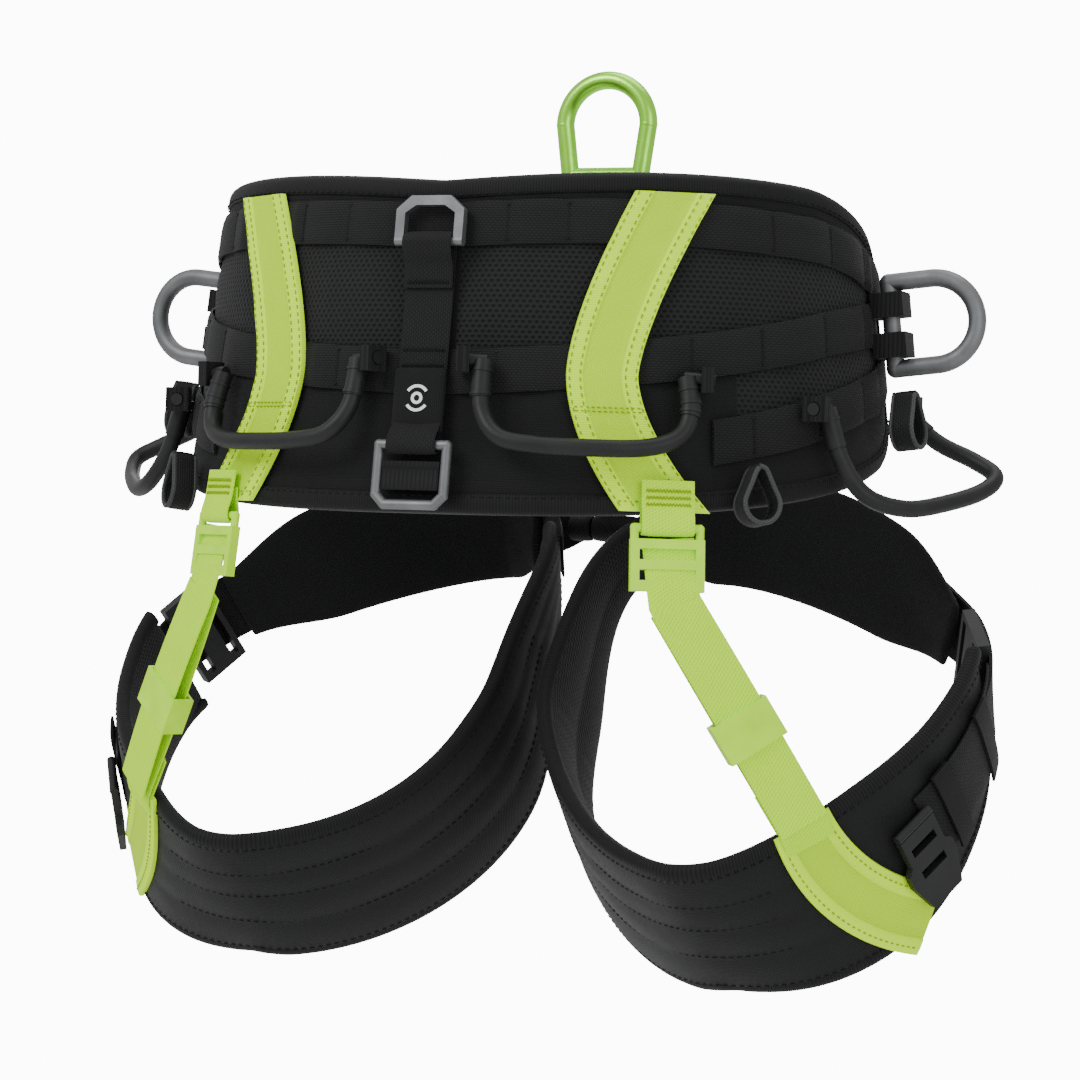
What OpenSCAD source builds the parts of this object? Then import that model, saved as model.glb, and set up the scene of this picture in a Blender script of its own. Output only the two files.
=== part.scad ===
// Tree climbing saddle: padded back belt, two thigh loops, ventral ring, side rings and gear loops.
// Frame: +Y is the wearer's front, +X the wearer's right, +Z up; the origin is the centre of the waist.

/* [Belt] */
// Half width of the belt at its lower edge, over the outer face
hip_half_w = 200; // [180:1:240]
// Distance from the waist centre to the back of the belt at its lower edge
hip_back_d = 158; // [135:1:190]
// Distance from the waist centre to the front webbing
hip_front_d = 112; // [100:1:135]
// How much each half size shrinks towards the belt's upper edge
belt_taper = 20; // [5:1:30]
// Height of the belt at the spine
belt_h = 172; // [150:1:210]
// Height of the belt at its front ends
belt_end_h = 90; // [76:1:105]
// Angle from the spine to each front end of the belt
belt_wrap = 112; // [106:1:118]
// Thickness of the outer textile shell
shell_t = 2.5; // [1.5:0.5:4]
// Thickness of the foam core
foam_t = 8; // [5:0.5:12]
// Thickness of the mesh lining
liner_t = 2.5; // [1.5:0.5:4]
// Depth of the edge binding
binding_h = 11; // [8:0.5:14]

/* [Webbing] */
// Width of the load webbings round the belt
webbing_w = 23; // [18:1:28]
// Width of the green load tapes on the belt and the thigh loops
tape_w = 36; // [28:1:40]
// Width of the riser straps
riser_w = 27; // [22:1:30]
// Width of the spine strap
spine_w = 27; // [22:1:32]
// Width of the front waist webbing
waist_w = 44; // [38:1:50]
// Thickness of all webbings and tapes
webbing_t = 2; // [1.5:0.1:2.5]

/* [Thigh loops] */
// Half width of a thigh loop across the wearer
thigh_half_w = 115; // [98:1:125]
// Half length of a thigh loop from back to front, seen from above
thigh_half_d = 100; // [92:1:115]
// Distance of each thigh loop's centre from the middle of the saddle
thigh_x = 130; // [122:1:145]
// How far the centres of the thigh loops lie below the waist centre
thigh_drop = 94; // [88:1:112]
// Slope of the thigh loops, falling towards the back
thigh_slope = 46; // [42:1:48]
// Width of the thigh pad behind the leg
thigh_pad_w = 94; // [76:1:104]
// Width of the thigh band across the front
thigh_band_w = 60; // [50:1:66]

/* [Metal parts] */
// Bar radius of the side rings
side_bar_r = 4.8; // [4:0.1:6]
// Distance from the hinge bar to the middle of the bow of a side ring
side_ring_reach = 46; // [38:1:54]
// Distance between the two arms of a side ring, centre to centre
side_ring_h = 46; // [40:1:56]
// Bar radius of the ventral ring
front_bar_r = 5.2; // [4.5:0.1:6]
// Width of the ventral ring between bar centres
front_ring_w = 51; // [44:1:60]
// Height of the ventral ring's eye between bar centres
front_ring_h = 55; // [48:1:66]
// Width of the spine hanger buckle
hanger_w = 38; // [35:1:46]
// Width of the ladder lock buckles
lock_w = 38; // [36:1:46]

/* [Plastic loops] */
// Radius of the moulded gear loops
gear_r = 4.5; // [3.5:0.1:5.5]

/* [Hidden] */

// Clearances
gap = 0.3;
pin_gap = 0.35;
hinge_gap = 1;
knuckle_rise = 0.08;

// Belt
belt_low = 12;
belt_t = shell_t + foam_t + liner_t + 2 * gap;
end_rise = 52;
kidney_rise = 6;
shoulder_angle = 70;
end_drop = belt_h - end_rise - belt_end_h;
cone_angle = atan(belt_taper / belt_h);
belt_steps = 44;
mesh_t = 0.9;
on_shell = webbing_t + gap;
on_webbing = on_shell + webbing_t + gap;

// Webbing runs as shares of the belt's height: at the spine, and what they gain towards the ends
upper_share = [0.86, -0.09];
middle_share = [0.42, 0.25];
lower_share = [0.16, 0.25];

// Green yokes
yoke_waist_angle = 28;
yoke_top_swing = 13;
yoke_low_swing = 11;
yoke_waist_z = belt_low + 0.42 * belt_h;
lock_angle = yoke_waist_angle + yoke_low_swing - 1;

// Metal parts
side_ring_angle = 94;
side_ring_z = belt_low + 0.625 * belt_h;
ring_stand = side_bar_r + on_shell + 2;
front_ring_z = belt_low + belt_h + 25;
front_slot_h = 18;
front_ring_y = hip_front_d - 26;
hanger_bar_r = 2.6;
hanger_z = belt_low + 0.81 * belt_h;
hanger_out = on_webbing + webbing_t + 2;
hanger_h = 26;
lower_hanger_z = belt_low + 0.16 * belt_h;
lower_hanger_h = 36;
lock_bar_r = 2.2;
lock_h = 38;
lock_t = 5;
lock_z = belt_low - 10;

// Thigh loops
thigh_y = 22;
thigh_pull = 60;
inner_steep = 0.5;
outer_upright = 0.6;
leg_shell_t = 2.5;
leg_foam_t = 6;
leg_liner_t = 2.5;
leg_out = leg_shell_t + gap / 2 + leg_foam_t / 2;
pad_from = -150;
pad_to = 100;
band_from = 118;
band_to = 196;
buckle_angle = 109;
riser_angle = 35;
leg_steps = 40;
hip_hinge = [0, hip_front_d + 8, 8];

// ---- vectors ----
function unit(v) = v / norm(v);
function mix(a, b, u) = a + (b - a) * u;
function ease(u) = u <= 0 ? 0 : u >= 1 ? 1 : u * u * (3 - 2 * u);
function spread(a, b, n) = [for (i = [0:n]) mix(a, b, i / n)];
function spline_at(a, b, c, d, u) = 0.5 * (2 * b + (c - a) * u + (2 * a - 5 * b + 4 * c - d) * u * u
    + (3 * b - a - 3 * c + d) * u * u * u);
// A smooth curve through all the points of p, with n steps in each stretch
function smooth_path(p, n) = let (last = len(p) - 1) [
    for (i = [0:last - 1]) for (k = [0:n - 1])
        spline_at(p[max(i - 1, 0)], p[i], p[i + 1], p[min(i + 2, last)], k / n),
    p[last]
];
function tangent(p, i) = unit(p[min(i + 1, len(p) - 1)] - p[max(i - 1, 0)]);

// ---- solids from grids ----
// A closed sheet between two grids of points, rows by columns, split into triangles
module slab(outer, inner) {
    rows = len(outer);
    cols = len(outer[0]);
    size = rows * cols;
    function at(i, j, k) = k * size + i * cols + j;
    function quad(a, b, c, d) = [[a, b, c], [a, c, d]];
    faces = [
        for (i = [0:rows - 2]) for (j = [0:cols - 2])
            each quad(at(i, j, 0), at(i + 1, j, 0), at(i + 1, j + 1, 0), at(i, j + 1, 0)),
        for (i = [0:rows - 2]) for (j = [0:cols - 2])
            each quad(at(i, j, 1), at(i, j + 1, 1), at(i + 1, j + 1, 1), at(i + 1, j, 1)),
        for (i = [0:rows - 2])
            each quad(at(i, 0, 0), at(i, 0, 1), at(i + 1, 0, 1), at(i + 1, 0, 0)),
        for (i = [0:rows - 2])
            each quad(at(i, cols - 1, 0), at(i + 1, cols - 1, 0), at(i + 1, cols - 1, 1), at(i, cols - 1, 1)),
        for (j = [0:cols - 2])
            each quad(at(0, j, 0), at(0, j + 1, 0), at(0, j + 1, 1), at(0, j, 1)),
        for (j = [0:cols - 2])
            each quad(at(rows - 1, j, 0), at(rows - 1, j, 1), at(rows - 1, j + 1, 1), at(rows - 1, j + 1, 0))
    ];
    polyhedron([for (g = [outer, inner]) for (row = g) for (p = row) p], faces, convexity = 6);
}

// A round tube along the points p; across is never parallel to the path
module tube(p, r, across, sides = 10) {
    n = len(p);
    rings = [for (i = [0:n - 1]) let (t = tangent(p, i), u = unit(cross(t, across)), v = cross(t, u))
        for (k = [0:sides - 1]) p[i] + r * (cos(360 * k / sides) * u + sin(360 * k / sides) * v)];
    faces = [
        for (i = [0:n - 2]) for (k = [0:sides - 1]) let (m = (k + 1) % sides)
            each [[i * sides + k, (i + 1) * sides + k, (i + 1) * sides + m],
                  [i * sides + k, (i + 1) * sides + m, i * sides + m]],
        [for (k = [0:sides - 1]) k],
        [for (k = [sides - 1:-1:0]) (n - 1) * sides + k]
    ];
    polyhedron(rings, faces, convexity = 6);
}

// A flat strap along the points p, w wide, t thick, with its width turning from wa to wb
module ribbon(p, wa, wb, w, t) {
    n = len(p) - 1;
    function side(i) = let (k = tangent(p, i), m = mix(wa, wb, i / n)) unit(m - (m * k) * k);
    function face(i) = cross(tangent(p, i), side(i));
    function row(i, s) = [p[i] - side(i) * w / 2 + s * face(i) * t / 2, p[i] + side(i) * w / 2 + s * face(i) * t / 2];
    slab([for (i = [0:n]) row(i, -1)], [for (i = [0:n]) row(i, 1)]);
}

// A round bar between two points
module rod(a, b, r) {
    d = b - a;
    translate(a) rotate([0, acos(d[2] / norm(d)), atan2(d[1], d[0])]) cylinder(h = norm(d), r = r, $fn = 32);
}

module mirrored(side) {
    if (side > 0) children();
    else mirror([1, 0, 0]) children();
}

// ---- the belt's surface ----
function belt_bottom(t) = belt_low + end_rise * pow(min(1, abs(t) / belt_wrap), 2.6);
function belt_top(t) = belt_low + belt_h + kidney_rise * sin(min(180, 2 * abs(t)))
    - end_drop * pow(max(0, abs(t) - shoulder_angle) / (belt_wrap - shoulder_angle), 1.6);
function half_w(z, depth) = hip_half_w - belt_taper * (z - belt_low) / belt_h - depth;
function half_d(z, t, depth) = (abs(t) > 90 ? hip_front_d : hip_back_d)
    - belt_taper * (z - belt_low) / belt_h - depth;
// The point at angle t from the spine and height z, depth under the outer face
function belt_pt(t, z, depth = 0) = [half_w(z, depth) * flare(t), -half_d(z, t, depth) * cos(t), z];
// The belt runs straighter past the hips than an ellipse would
function flare(t) = abs(t) > 90 && abs(t) < 270 ? sign(sin(t)) * sqrt(abs(sin(t))) : sin(t);
function belt_run(t, z) = belt_pt(t + 0.5, z) - belt_pt(t - 0.5, z);
function belt_turn(t, z) = let (d = belt_run(t, z)) atan2(d[1], d[0]);
function share_z(t, s) = mix(belt_bottom(t), belt_top(t), s[0] + s[1] * pow(abs(t) / belt_wrap, 2));
// Millimetres along the belt for each degree
function per_degree(t, z) = norm(belt_run(t, z));

// Local frame on the belt: X along it, Z up its face and -Y outwards
module at_belt(t, z, out = 0) {
    translate(belt_pt(t, z, -out)) rotate([0, 0, belt_turn(t, z)]) rotate([-cone_angle, 0, 0]) children();
}

// A band round the belt: heights and depths are lists with one entry for each column
module belt_band(from, to, heights, outer, inner) {
    n = ceil(belt_steps * (to - from) / (2 * belt_wrap));
    function grid(depths) = [for (t = spread(from, to, n))
        [for (k = [0:len(heights) - 1]) belt_pt(t, heights[k](t), depths[k])]];
    slab(grid(outer), grid(inner));
}

// A tape over the belt: the path gives [t, z] for u from 0 to 1
module belt_tape(path, w, out, n = 16, cols = 4, level = false) {
    function heading(u) = let (a = path(max(0, u - 0.02)), b = path(min(1, u + 0.02)), k = per_degree(a[0], a[1]))
        unit([(b[0] - a[0]) * k, b[1] - a[1]]);
    function grid(depth) = [for (u = spread(0, 1, n)) let (c = path(u), h = heading(u), k = per_degree(c[0], c[1]))
        [for (s = spread(-w / 2, w / 2, cols)) level ? belt_pt(c[0] - s / h[1] / k, c[1], depth)
            : belt_pt(c[0] - h[1] * s / k, c[1] + h[0] * s, depth)]];
    slab(grid(-out), grid(-out - webbing_t));
}

// ---- belt ----
module belt_layer(outer, inner) {
    low = function (t) belt_bottom(t) + binding_h;
    high = function (t) belt_top(t) - binding_h;
    belt_band(-belt_wrap, belt_wrap, [low, high], [outer, outer], [inner, inner]);
}

module belt_shell() {
    color("#202224") belt_layer(0, shell_t);
}

module belt_foam() {
    color("#8a8a86") belt_layer(shell_t + gap, shell_t + gap + foam_t);
}

module belt_liner() {
    color("#2c2e30") belt_layer(belt_t - liner_t, belt_t);
}

module binding(edge, up) {
    inside = function (t) edge(t) - up * (binding_h - gap);
    shoulder = function (t) edge(t) - up * 3;
    outer = [-0.8, -0.8, 3];
    inner = [belt_t + 0.8, belt_t + 0.8, belt_t - 3];
    columns = [inside, shoulder, edge];
    if (up > 0) belt_band(-belt_wrap, belt_wrap, columns, outer, inner);
    else belt_band(-belt_wrap, belt_wrap, columns, inner, outer);
}

module binding_top() {
    color("#2a2c2e") binding(function (t) belt_top(t), 1);
}

module binding_bottom() {
    color("#2a2c2e") binding(function (t) belt_bottom(t), -1);
}

module webbing_run(share, from, to) {
    low = function (t) share_z(t, share) - webbing_w / 2;
    high = function (t) share_z(t, share) + webbing_w / 2;
    belt_band(from, to, [low, high], [-on_shell, -on_shell], [-gap, -gap]);
}

module webbing_upper() {
    color("#1c1d1f") webbing_run(upper_share, -belt_wrap + 2, belt_wrap - 2);
}

module webbing_middle() {
    color("#1c1d1f") webbing_run(middle_share, 16 - belt_wrap, belt_wrap - 16);
}

module webbing_lower() {
    color("#1c1d1f") for (s = [-1, 1]) mirrored(s) webbing_run(lower_share, 46, belt_wrap - 2);
}

module mesh_panel(from, under, over) {
    low = function (t) share_z(t, under) + webbing_w / 2 + gap;
    high = function (t) share_z(t, over) - webbing_w / 2 - gap;
    belt_band(from, belt_wrap - 18, [low, high], [-mesh_t - gap, -mesh_t - gap], [-gap, -gap]);
}

// Spacer mesh between the upper and middle webbings, and between the middle and lower ones at the sides
module mesh_panels() {
    color("#3a3d40") {
        for (s = [-1, 1]) mirrored(s) mesh_panel(5, middle_share, upper_share);
        for (s = [-1, 1]) mirrored(s) mesh_panel(50, lower_share, middle_share);
    }
}

// ---- spine ----
module spine_strap() {
    top = hanger_z - 5;
    low = lower_hanger_z + 12;
    color("#1c1d1f") {
        belt_tape(function (u) [0, mix(low, top, u)], spine_w, on_shell + gap, 10);
        for (z = [hanger_z, lower_hanger_z + 7]) at_belt(0, z, hanger_out) difference() {
            cube([spine_w - 3, 8, 9], center = true);
            rotate([0, 90, 0]) cylinder(h = spine_w, r = hanger_bar_r + pin_gap, center = true, $fn = 32);
        }
    }
}

tag_h = 32;
tag_z = lower_hanger_z + 12.5 + tag_h / 2;
module tag_pocket() {
    size = [spine_w + 2, 3.6, tag_h];
    color("#191a1b") at_belt(0, tag_z, on_webbing + gap + size[1] / 2) difference() {
        cube(size, center = true);
        translate([0, 0, 2]) cube([size[0] - 3, size[1] - 2, size[2]], center = true);
    }
}

module scan_tag() {
    color("#b8bcc0") at_belt(0, tag_z, on_webbing + gap + 1.8)
        cube([spine_w - 5, 1, tag_h - 8], center = true);
}

// A round bar bent into a closed frame through the points, with a ball at each corner
module wire_frame(points, r) {
    n = len(points);
    for (i = [0:n - 1]) {
        rod(points[i], points[(i + 1) % n], r);
        knuckle(points[i], r);
    }
}

module knuckle(p, r) {
    translate(p) sphere(r = r + knuckle_rise, $fn = 32);
}

// Flat forged frame with cut corners, over a round hinge bar
module spine_hanger() {
    x = hanger_w / 2;
    h = hanger_h - hanger_bar_r;
    wall = 5;
    color("#8d9196") at_belt(0, hanger_z, hanger_out) {
        rotate([0, 90, 0]) cylinder(h = hanger_w, r = hanger_bar_r, center = true, $fn = 32);
        rotate([90, 0, 0]) linear_extrude(height = 2 * hanger_bar_r - 0.6, center = true) difference() {
            polygon([[-x, 0], [x, 0], [x, h - 7], [x - 8, h], [8 - x, h], [-x, h - 7]]);
            polygon([[wall - x, -1], [x - wall, -1], [x - wall, h - 9], [x - 11, h - wall], [11 - x, h - wall],
                [wall - x, h - 9]]);
        }
    }
}

module lower_hanger() {
    x = hanger_w / 2;
    h = lower_hanger_h - 2 * hanger_bar_r;
    color("#8d9196") at_belt(0, lower_hanger_z + 7, hanger_out)
        wire_frame([[-x, 0, 0], [x, 0, 0], [x, 0, 5 - h], [x - 5, 0, -h], [5 - x, 0, -h], [-x, 0, 5 - h]], hanger_bar_r);
}

module hanger_patch() {
    h = lower_hanger_h - 4 * hanger_bar_r;
    color("#191a1b") at_belt(0, lower_hanger_z + 7, hanger_out)
        translate([0, 0, -0.5 - h / 2 - hanger_bar_r]) cube([hanger_w - 2 * hanger_bar_r - 1, 2.4, h - 11], center = true);
}

// ---- green yokes, ladder locks and risers ----
function yoke_angle(z) = yoke_waist_angle
    + (z > yoke_waist_z ? yoke_top_swing * pow((z - yoke_waist_z) / (belt_low + belt_h - yoke_waist_z), 1.5)
        : yoke_low_swing * pow((yoke_waist_z - z) / (yoke_waist_z - belt_low), 1.7));

module yoke(side) {
    top = belt_top(yoke_waist_angle + yoke_top_swing) - binding_h;
    low = belt_low + 4;
    color("#b9e51f") mirrored(side)
        belt_tape(function (u) let (z = mix(low, top, u)) [yoke_angle(z), z], tape_w, on_shell + gap, 20, 4, true);
}

module yoke_left() yoke(-1);
module yoke_right() yoke(1);

lock_out = on_webbing + 1.5;
function lock_top() = belt_pt(lock_angle, lock_z + 6, -lock_out);

// Webbing tabs from the belt's lower edge down to each ladder lock, folded round its top bar
module riser_tabs() {
    color("#b9e51f") for (s = [-1, 1]) mirrored(s) at_belt(lock_angle, lock_z + 6, lock_out) {
        difference() {
            translate([0, 0, 2]) cube([riser_w, 7.5, 11], center = true);
            rotate([0, 90, 0]) cylinder(h = riser_w + 2, r = lock_bar_r + pin_gap, center = true, $fn = 32);
        }
        translate([0, -1.5, 14]) cube([riser_w, webbing_t, 13.4], center = true);
    }
}

// Frame with a round top bar for the tab, a middle bar and a lower grip bar for the riser
module ladder_lock(side) {
    x = lock_w / 2 - lock_bar_r;
    low = 8 - lock_h;
    color("#a6d916") mirrored(side) at_belt(lock_angle, lock_z + 6, lock_out) {
        wire_frame([[-x, 0, 0], [x, 0, 0], [x, 0, -8], [-x, 0, -8]], lock_bar_r);
        difference() {
            translate([0, 0, (low - 8) / 2]) cube([lock_w, lock_t, -8 - low + 2 * lock_bar_r], center = true);
            for (z = [-13.5, -24]) translate([0, 0, z]) cube([riser_w + 2, lock_t + 2, 5.6], center = true);
        }
    }
}

module ladder_lock_left() ladder_lock(-1);
module ladder_lock_right() ladder_lock(1);

// The riser runs straight from the lock to the thigh pad, as two layers held a little apart
function riser_start() = lock_top() + [6, -3, -lock_h - 1.6];
function riser_end() = leg_face_pt(riser_angle, thigh_pad_w / 2 + 4, leg_out + 4);
function riser_across() = unit(belt_pt(lock_angle + 5, 0) - belt_pt(lock_angle - 5, 0));
function riser_face() = unit(cross(unit(riser_end() - riser_start()), riser_across()));
function riser_path(bow) = [for (u = spread(0, 1, 14))
    mix(riser_start(), riser_end(), u) + riser_face() * bow * (1 + sin(180 * u) * 0.8)];

module riser(side) {
    color("#b9e51f") mirrored(side) for (bow = [-1.6, 1.6])
        ribbon(riser_path(bow), riser_across(), leg_along(riser_angle), riser_w, webbing_t);
}

module riser_left() riser(-1);
module riser_right() riser(1);

// Sleeve round both layers of the riser, near its lower end
keeper_u = 0.56;
module riser_keeper(side) {
    d = unit(riser_end() - riser_start());
    p = mix(riser_start(), riser_end(), keeper_u);
    w = unit(mix(riser_across(), leg_along(riser_angle), keeper_u));
    wide = unit(w - (w * d) * d);
    n = cross(d, wide);
    size = [riser_w + 6, 12.5, 22];
    color("#a6d916") mirrored(side)
        multmatrix([[wide[0], n[0], d[0], p[0]], [wide[1], n[1], d[1], p[1]], [wide[2], n[2], d[2], p[2]]])
        difference() {
            cube(size, center = true);
            cube([riser_w + 2, 9.5, size[2] + 2], center = true);
        }
}

module riser_keeper_left() riser_keeper(-1);
module riser_keeper_right() riser_keeper(1);

// ---- side rings ----
// Webbing blocks with a bore for the ring's hinge bar, above and below its eye
block_h = 13;
module ring_blocks() {
    size = [20, 2 * ring_stand - 2 * gap, block_h];
    color("#191a1b") for (s = [-1, 1]) mirrored(s) at_belt(side_ring_angle, side_ring_z, ring_stand + on_shell)
        for (z = [-1, 1]) translate([0, 0, z * (side_ring_h / 2 - side_bar_r - block_h / 2 - hinge_gap)]) difference() {
            cube(size, center = true);
            cylinder(h = block_h + 2, r = side_bar_r + pin_gap, center = true, $fn = 48);
        }
}

// D-shaped ring: hinge bar, two arms and a half-round bow
module side_ring(side) {
    r = side_ring_h / 2;
    arm = side_ring_reach - r;
    color("#9a9ea2") mirrored(side) at_belt(side_ring_angle, side_ring_z, ring_stand + on_shell) {
        rod([0, 0, -r], [0, 0, r], side_bar_r);
        for (z = [-r, r]) {
            knuckle([0, 0, z], side_bar_r);
            rod([0, 0, z], [0, -arm, z], side_bar_r);
        }
        translate([0, -arm, 0]) rotate([0, 90, 180])
            rotate_extrude(angle = 180, $fn = 64) translate([r, 0]) circle(r = side_bar_r, $fn = 32);
    }
}

module side_ring_left() side_ring(-1);
module side_ring_right() side_ring(1);

// ---- front: waist webbing, buckle, bridge and ventral ring ----
waist_z = belt_low + 0.56 * belt_h;
waist_depth = belt_t + 2;
strap_lap = 14;
catch_angle = 218;
// Angles at which the two waist straps end in the buckle
tail_angle = catch_angle - 16;
root_angle = catch_angle + 20;
keeper_angle = 148;

module waist_straps() {
    color("#1c1d1f") {
        low = function (t) waist_z - waist_w / 2;
        high = function (t) waist_z + waist_w / 2;
        inner = [waist_depth + webbing_t, waist_depth + webbing_t];
        outer = [waist_depth, waist_depth];
        belt_band(belt_wrap - strap_lap, 180, [low, high], outer, inner);
        belt_band(root_angle, 360 - belt_wrap + strap_lap, [low, high], outer, inner);
        belt_band(180.4, tail_angle, [low, high], outer, inner);
    }
}

// Middle of the waist webbing: x along it, y across its thickness, z up
module at_waist(t) {
    at_belt(t, waist_z, -waist_depth - webbing_t / 2) children();
}

module at_buckle() {
    at_waist(catch_angle) children();
}

module waist_buckle_frame() {
    size = [26, 9, waist_w + 12];
    color("#85898d") at_buckle() translate([17, 0, 0]) difference() {
        cube(size, center = true);
        translate([8, 0, 0]) cube([4.5, 12, waist_w + 2], center = true);
        translate([-9, 0, 0]) cube([12, 4.4, waist_w - 4], center = true);
        for (z = [-1, 1]) translate([-5, 0, z * size[2] / 2]) cube([14.6, 6.6, 14], center = true);
    }
}

module waist_buckle_tongue() {
    size = [26, 7, waist_w + 8];
    color("#85898d") at_buckle() translate([-15, 0, 0]) {
        difference() {
            cube(size, center = true);
            translate([-7.5, 0, 0]) cube([4.5, 12, waist_w + 2], center = true);
        }
        translate([size[0] / 2 + 4, 0, 0]) cube([12, 3.6, waist_w - 6], center = true);
    }
}

module waist_latch(up) {
    color("#5d6165") at_buckle() translate([12, 0, up * ((waist_w + 12) / 2 - 1.9)])
        cube([14, 6, 4], center = true);
}

module waist_latch_upper() waist_latch(1);
module waist_latch_lower() waist_latch(-1);

module waist_keeper() {
    color("#191a1b") at_waist(keeper_angle) difference() {
        cube([14, 7, waist_w + 6], center = true);
        cube([16, 4.4, waist_w + 2], center = true);
    }
}

bridge_y = hip_front_d - 2;
// Sling from the ventral ring down over the waist webbing to the thigh loops
module front_bridge() {
    ring_low = front_ring_z - front_slot_h;
    path = smooth_path([[0, front_ring_y + 3, ring_low - 9], [0, bridge_y - 6, ring_low - 40],
        [0, bridge_y, waist_z], [0, bridge_y + 2, waist_z - 50], [0, hip_hinge[1], hip_hinge[2] + 9]], 4);
    color("#1c1d1f") {
        ribbon(path, [1, 0, 0], [1, 0, 0], 30, 3);
        translate([0, front_ring_y, ring_low]) difference() {
            translate([0, 1, -1]) cube([30, 16, 17], center = true);
            rotate([0, 90, 0]) cylinder(h = 40, r = front_bar_r + pin_gap, center = true, $fn = 48);
        }
        translate(hip_hinge) rotate([0, 90, 0]) difference() {
            cylinder(h = 26, r = 8, center = true, $fn = 40);
            cylinder(h = 28, r = 5, center = true, $fn = 40);
        }
    }
}

// Pear-shaped eye over a crossbar, with a webbing slot under it
module front_ring() {
    r = front_ring_w / 2;
    top = front_ring_h - r;
    foot = r - 4;
    color("#7ed321") translate([0, front_ring_y, front_ring_z]) {
        rod([-foot, 0, 0], [foot, 0, 0], front_bar_r);
        rod([-foot, 0, -front_slot_h], [foot, 0, -front_slot_h], front_bar_r);
        for (s = [-1, 1]) {
            rod([s * foot, 0, -front_slot_h], [s * foot, 0, 0], front_bar_r);
            rod([s * foot, 0, 0], [s * r, 0, top], front_bar_r);
            for (p = [[s * foot, 0, 0], [s * foot, 0, -front_slot_h], [s * r, 0, top]]) knuckle(p, front_bar_r);
        }
        translate([0, 0, top]) rotate([90, 0, 0])
            rotate_extrude(angle = 180, $fn = 72) translate([r, 0]) circle(r = front_bar_r, $fn = 32);
    }
}

// ---- gear loops ----
// Each loop: [[t, z, out], ...] through its points, and the barrels lie on the line of its two ends
anchor_out = 10;
barrel_r = 3.4;
barrel_l = 14;
rear_loop = [[10, 90, anchor_out], [10.3, 66, 13], [13, 52, 17], [18, 48, 18], [26, 47, 18], [34, 48, 17],
    [39, 54, 15], [41, 66, 13], [41, 84, anchor_out]];
side_loop = [[67, 72, anchor_out], [68.5, 46, 14], [71, 28, 22], [77, 22, 32], [84, 26, 44], [90, 33, 56],
    [94, 41, 60], [96.5, 49, 48], [98, 59, 28], [99, 76, anchor_out]];

function loop_points(loop) = [for (p = loop) belt_pt(p[0], p[1], -p[2])];
function loop_axis(loop) = let (p = loop_points(loop)) unit(p[len(p) - 1] - p[0]);

module gear_loop(loop, side) {
    p = loop_points(loop);
    axis = loop_axis(loop);
    last = len(p) - 1;
    across = unit(cross(axis, p[3] - p[0]));
    color("#242628") mirrored(side) {
        tube(smooth_path(p, 4), gear_r, across);
        rod(p[0] + axis * 2, p[0] - axis * barrel_l, barrel_r);
        rod(p[last] - axis * 2, p[last] + axis * barrel_l, barrel_r);
    }
}

module gear_loop_rear_left() gear_loop(rear_loop, -1);
module gear_loop_rear_right() gear_loop(rear_loop, 1);
module gear_loop_side_left() gear_loop(side_loop, -1);
module gear_loop_side_right() gear_loop(side_loop, 1);

// A stitched anchor block round each barrel, with a bore on the loop's axis
module gear_anchor(point, away) {
    d = unit(away);
    centre = point + d * (gear_r + gap + 5.4);
    difference() {
        translate(centre) rotate([0, 0, atan2(d[1], d[0])]) cube([6.4, 13, 13], center = true);
        rod(centre - d * 12, centre + d * 12, barrel_r + pin_gap);
    }
}

module gear_anchors() {
    color("#191a1b") for (s = [-1, 1]) mirrored(s) for (loop = [rear_loop, side_loop]) {
        p = loop_points(loop);
        gear_anchor(p[0], p[0] - p[len(p) - 1]);
        gear_anchor(p[len(p) - 1], p[len(p) - 1] - p[0]);
    }
}

// ---- tool loops ----
tool_w = 22;
tool_h = 31;
tool_d = 12;
tool_wall = 2.6;
// A webbing loop hanging from its top, seen as a rounded drop
module tool_loop(t, z, out, side) {
    color("#2b2d2f") mirrored(side) at_belt(t, z, out) rotate([90, 0, 0])
        linear_extrude(height = tool_d, center = true) difference() {
            tool_outline(tool_w, 0);
            tool_outline(tool_w - 2 * tool_wall, tool_wall);
        }
}

module tool_outline(w, inset) {
    hull() {
        translate([0, w / 2 - tool_h + inset]) circle(d = w, $fn = 40);
        translate([0, -3 - inset]) circle(d = w / 3, $fn = 32);
    }
}

module tool_loop_left() tool_loop(52, belt_bottom(52) + 22, 12, -1);
module tool_loop_right() tool_loop(52, belt_bottom(52) + 22, 12, 1);
module tool_loop_hip_left() tool_loop(86, side_ring_z - 36, 22, -1);
module tool_loop_hip_right() tool_loop(86, side_ring_z - 36, 22, 1);

// ---- thigh loops ----
// Angle a runs round the right loop: 0 at the back, 90 at the outer side, 180 at the front
function leg_mid(a) = let (front = max(0, -cos(a)), inner = max(0, -sin(a)), along = -thigh_half_d * cos(a))
    [thigh_x + thigh_half_w * sin(a) - thigh_pull * front * front,
     thigh_y + along * (1 - inner_steep * inner),
     along * tan(thigh_slope) - thigh_drop];
// The pad stands more upright at the front and at the outer side than behind the leg
function leg_tilt(a) = thigh_slope * (1 - 0.75 * ease(-cos(a) * 1.1)) * (1 - outer_upright * ease(sin(a) * 1.2));
function leg_up(a) = [0, -sin(leg_tilt(a)), cos(leg_tilt(a))];
function leg_along(a) = unit(leg_mid(a + 1) - leg_mid(a - 1));
function leg_out_dir(a) = unit(cross(leg_along(a), leg_up(a)));
function leg_side_dir(a) = unit(cross(leg_out_dir(a), leg_along(a)));
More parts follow.
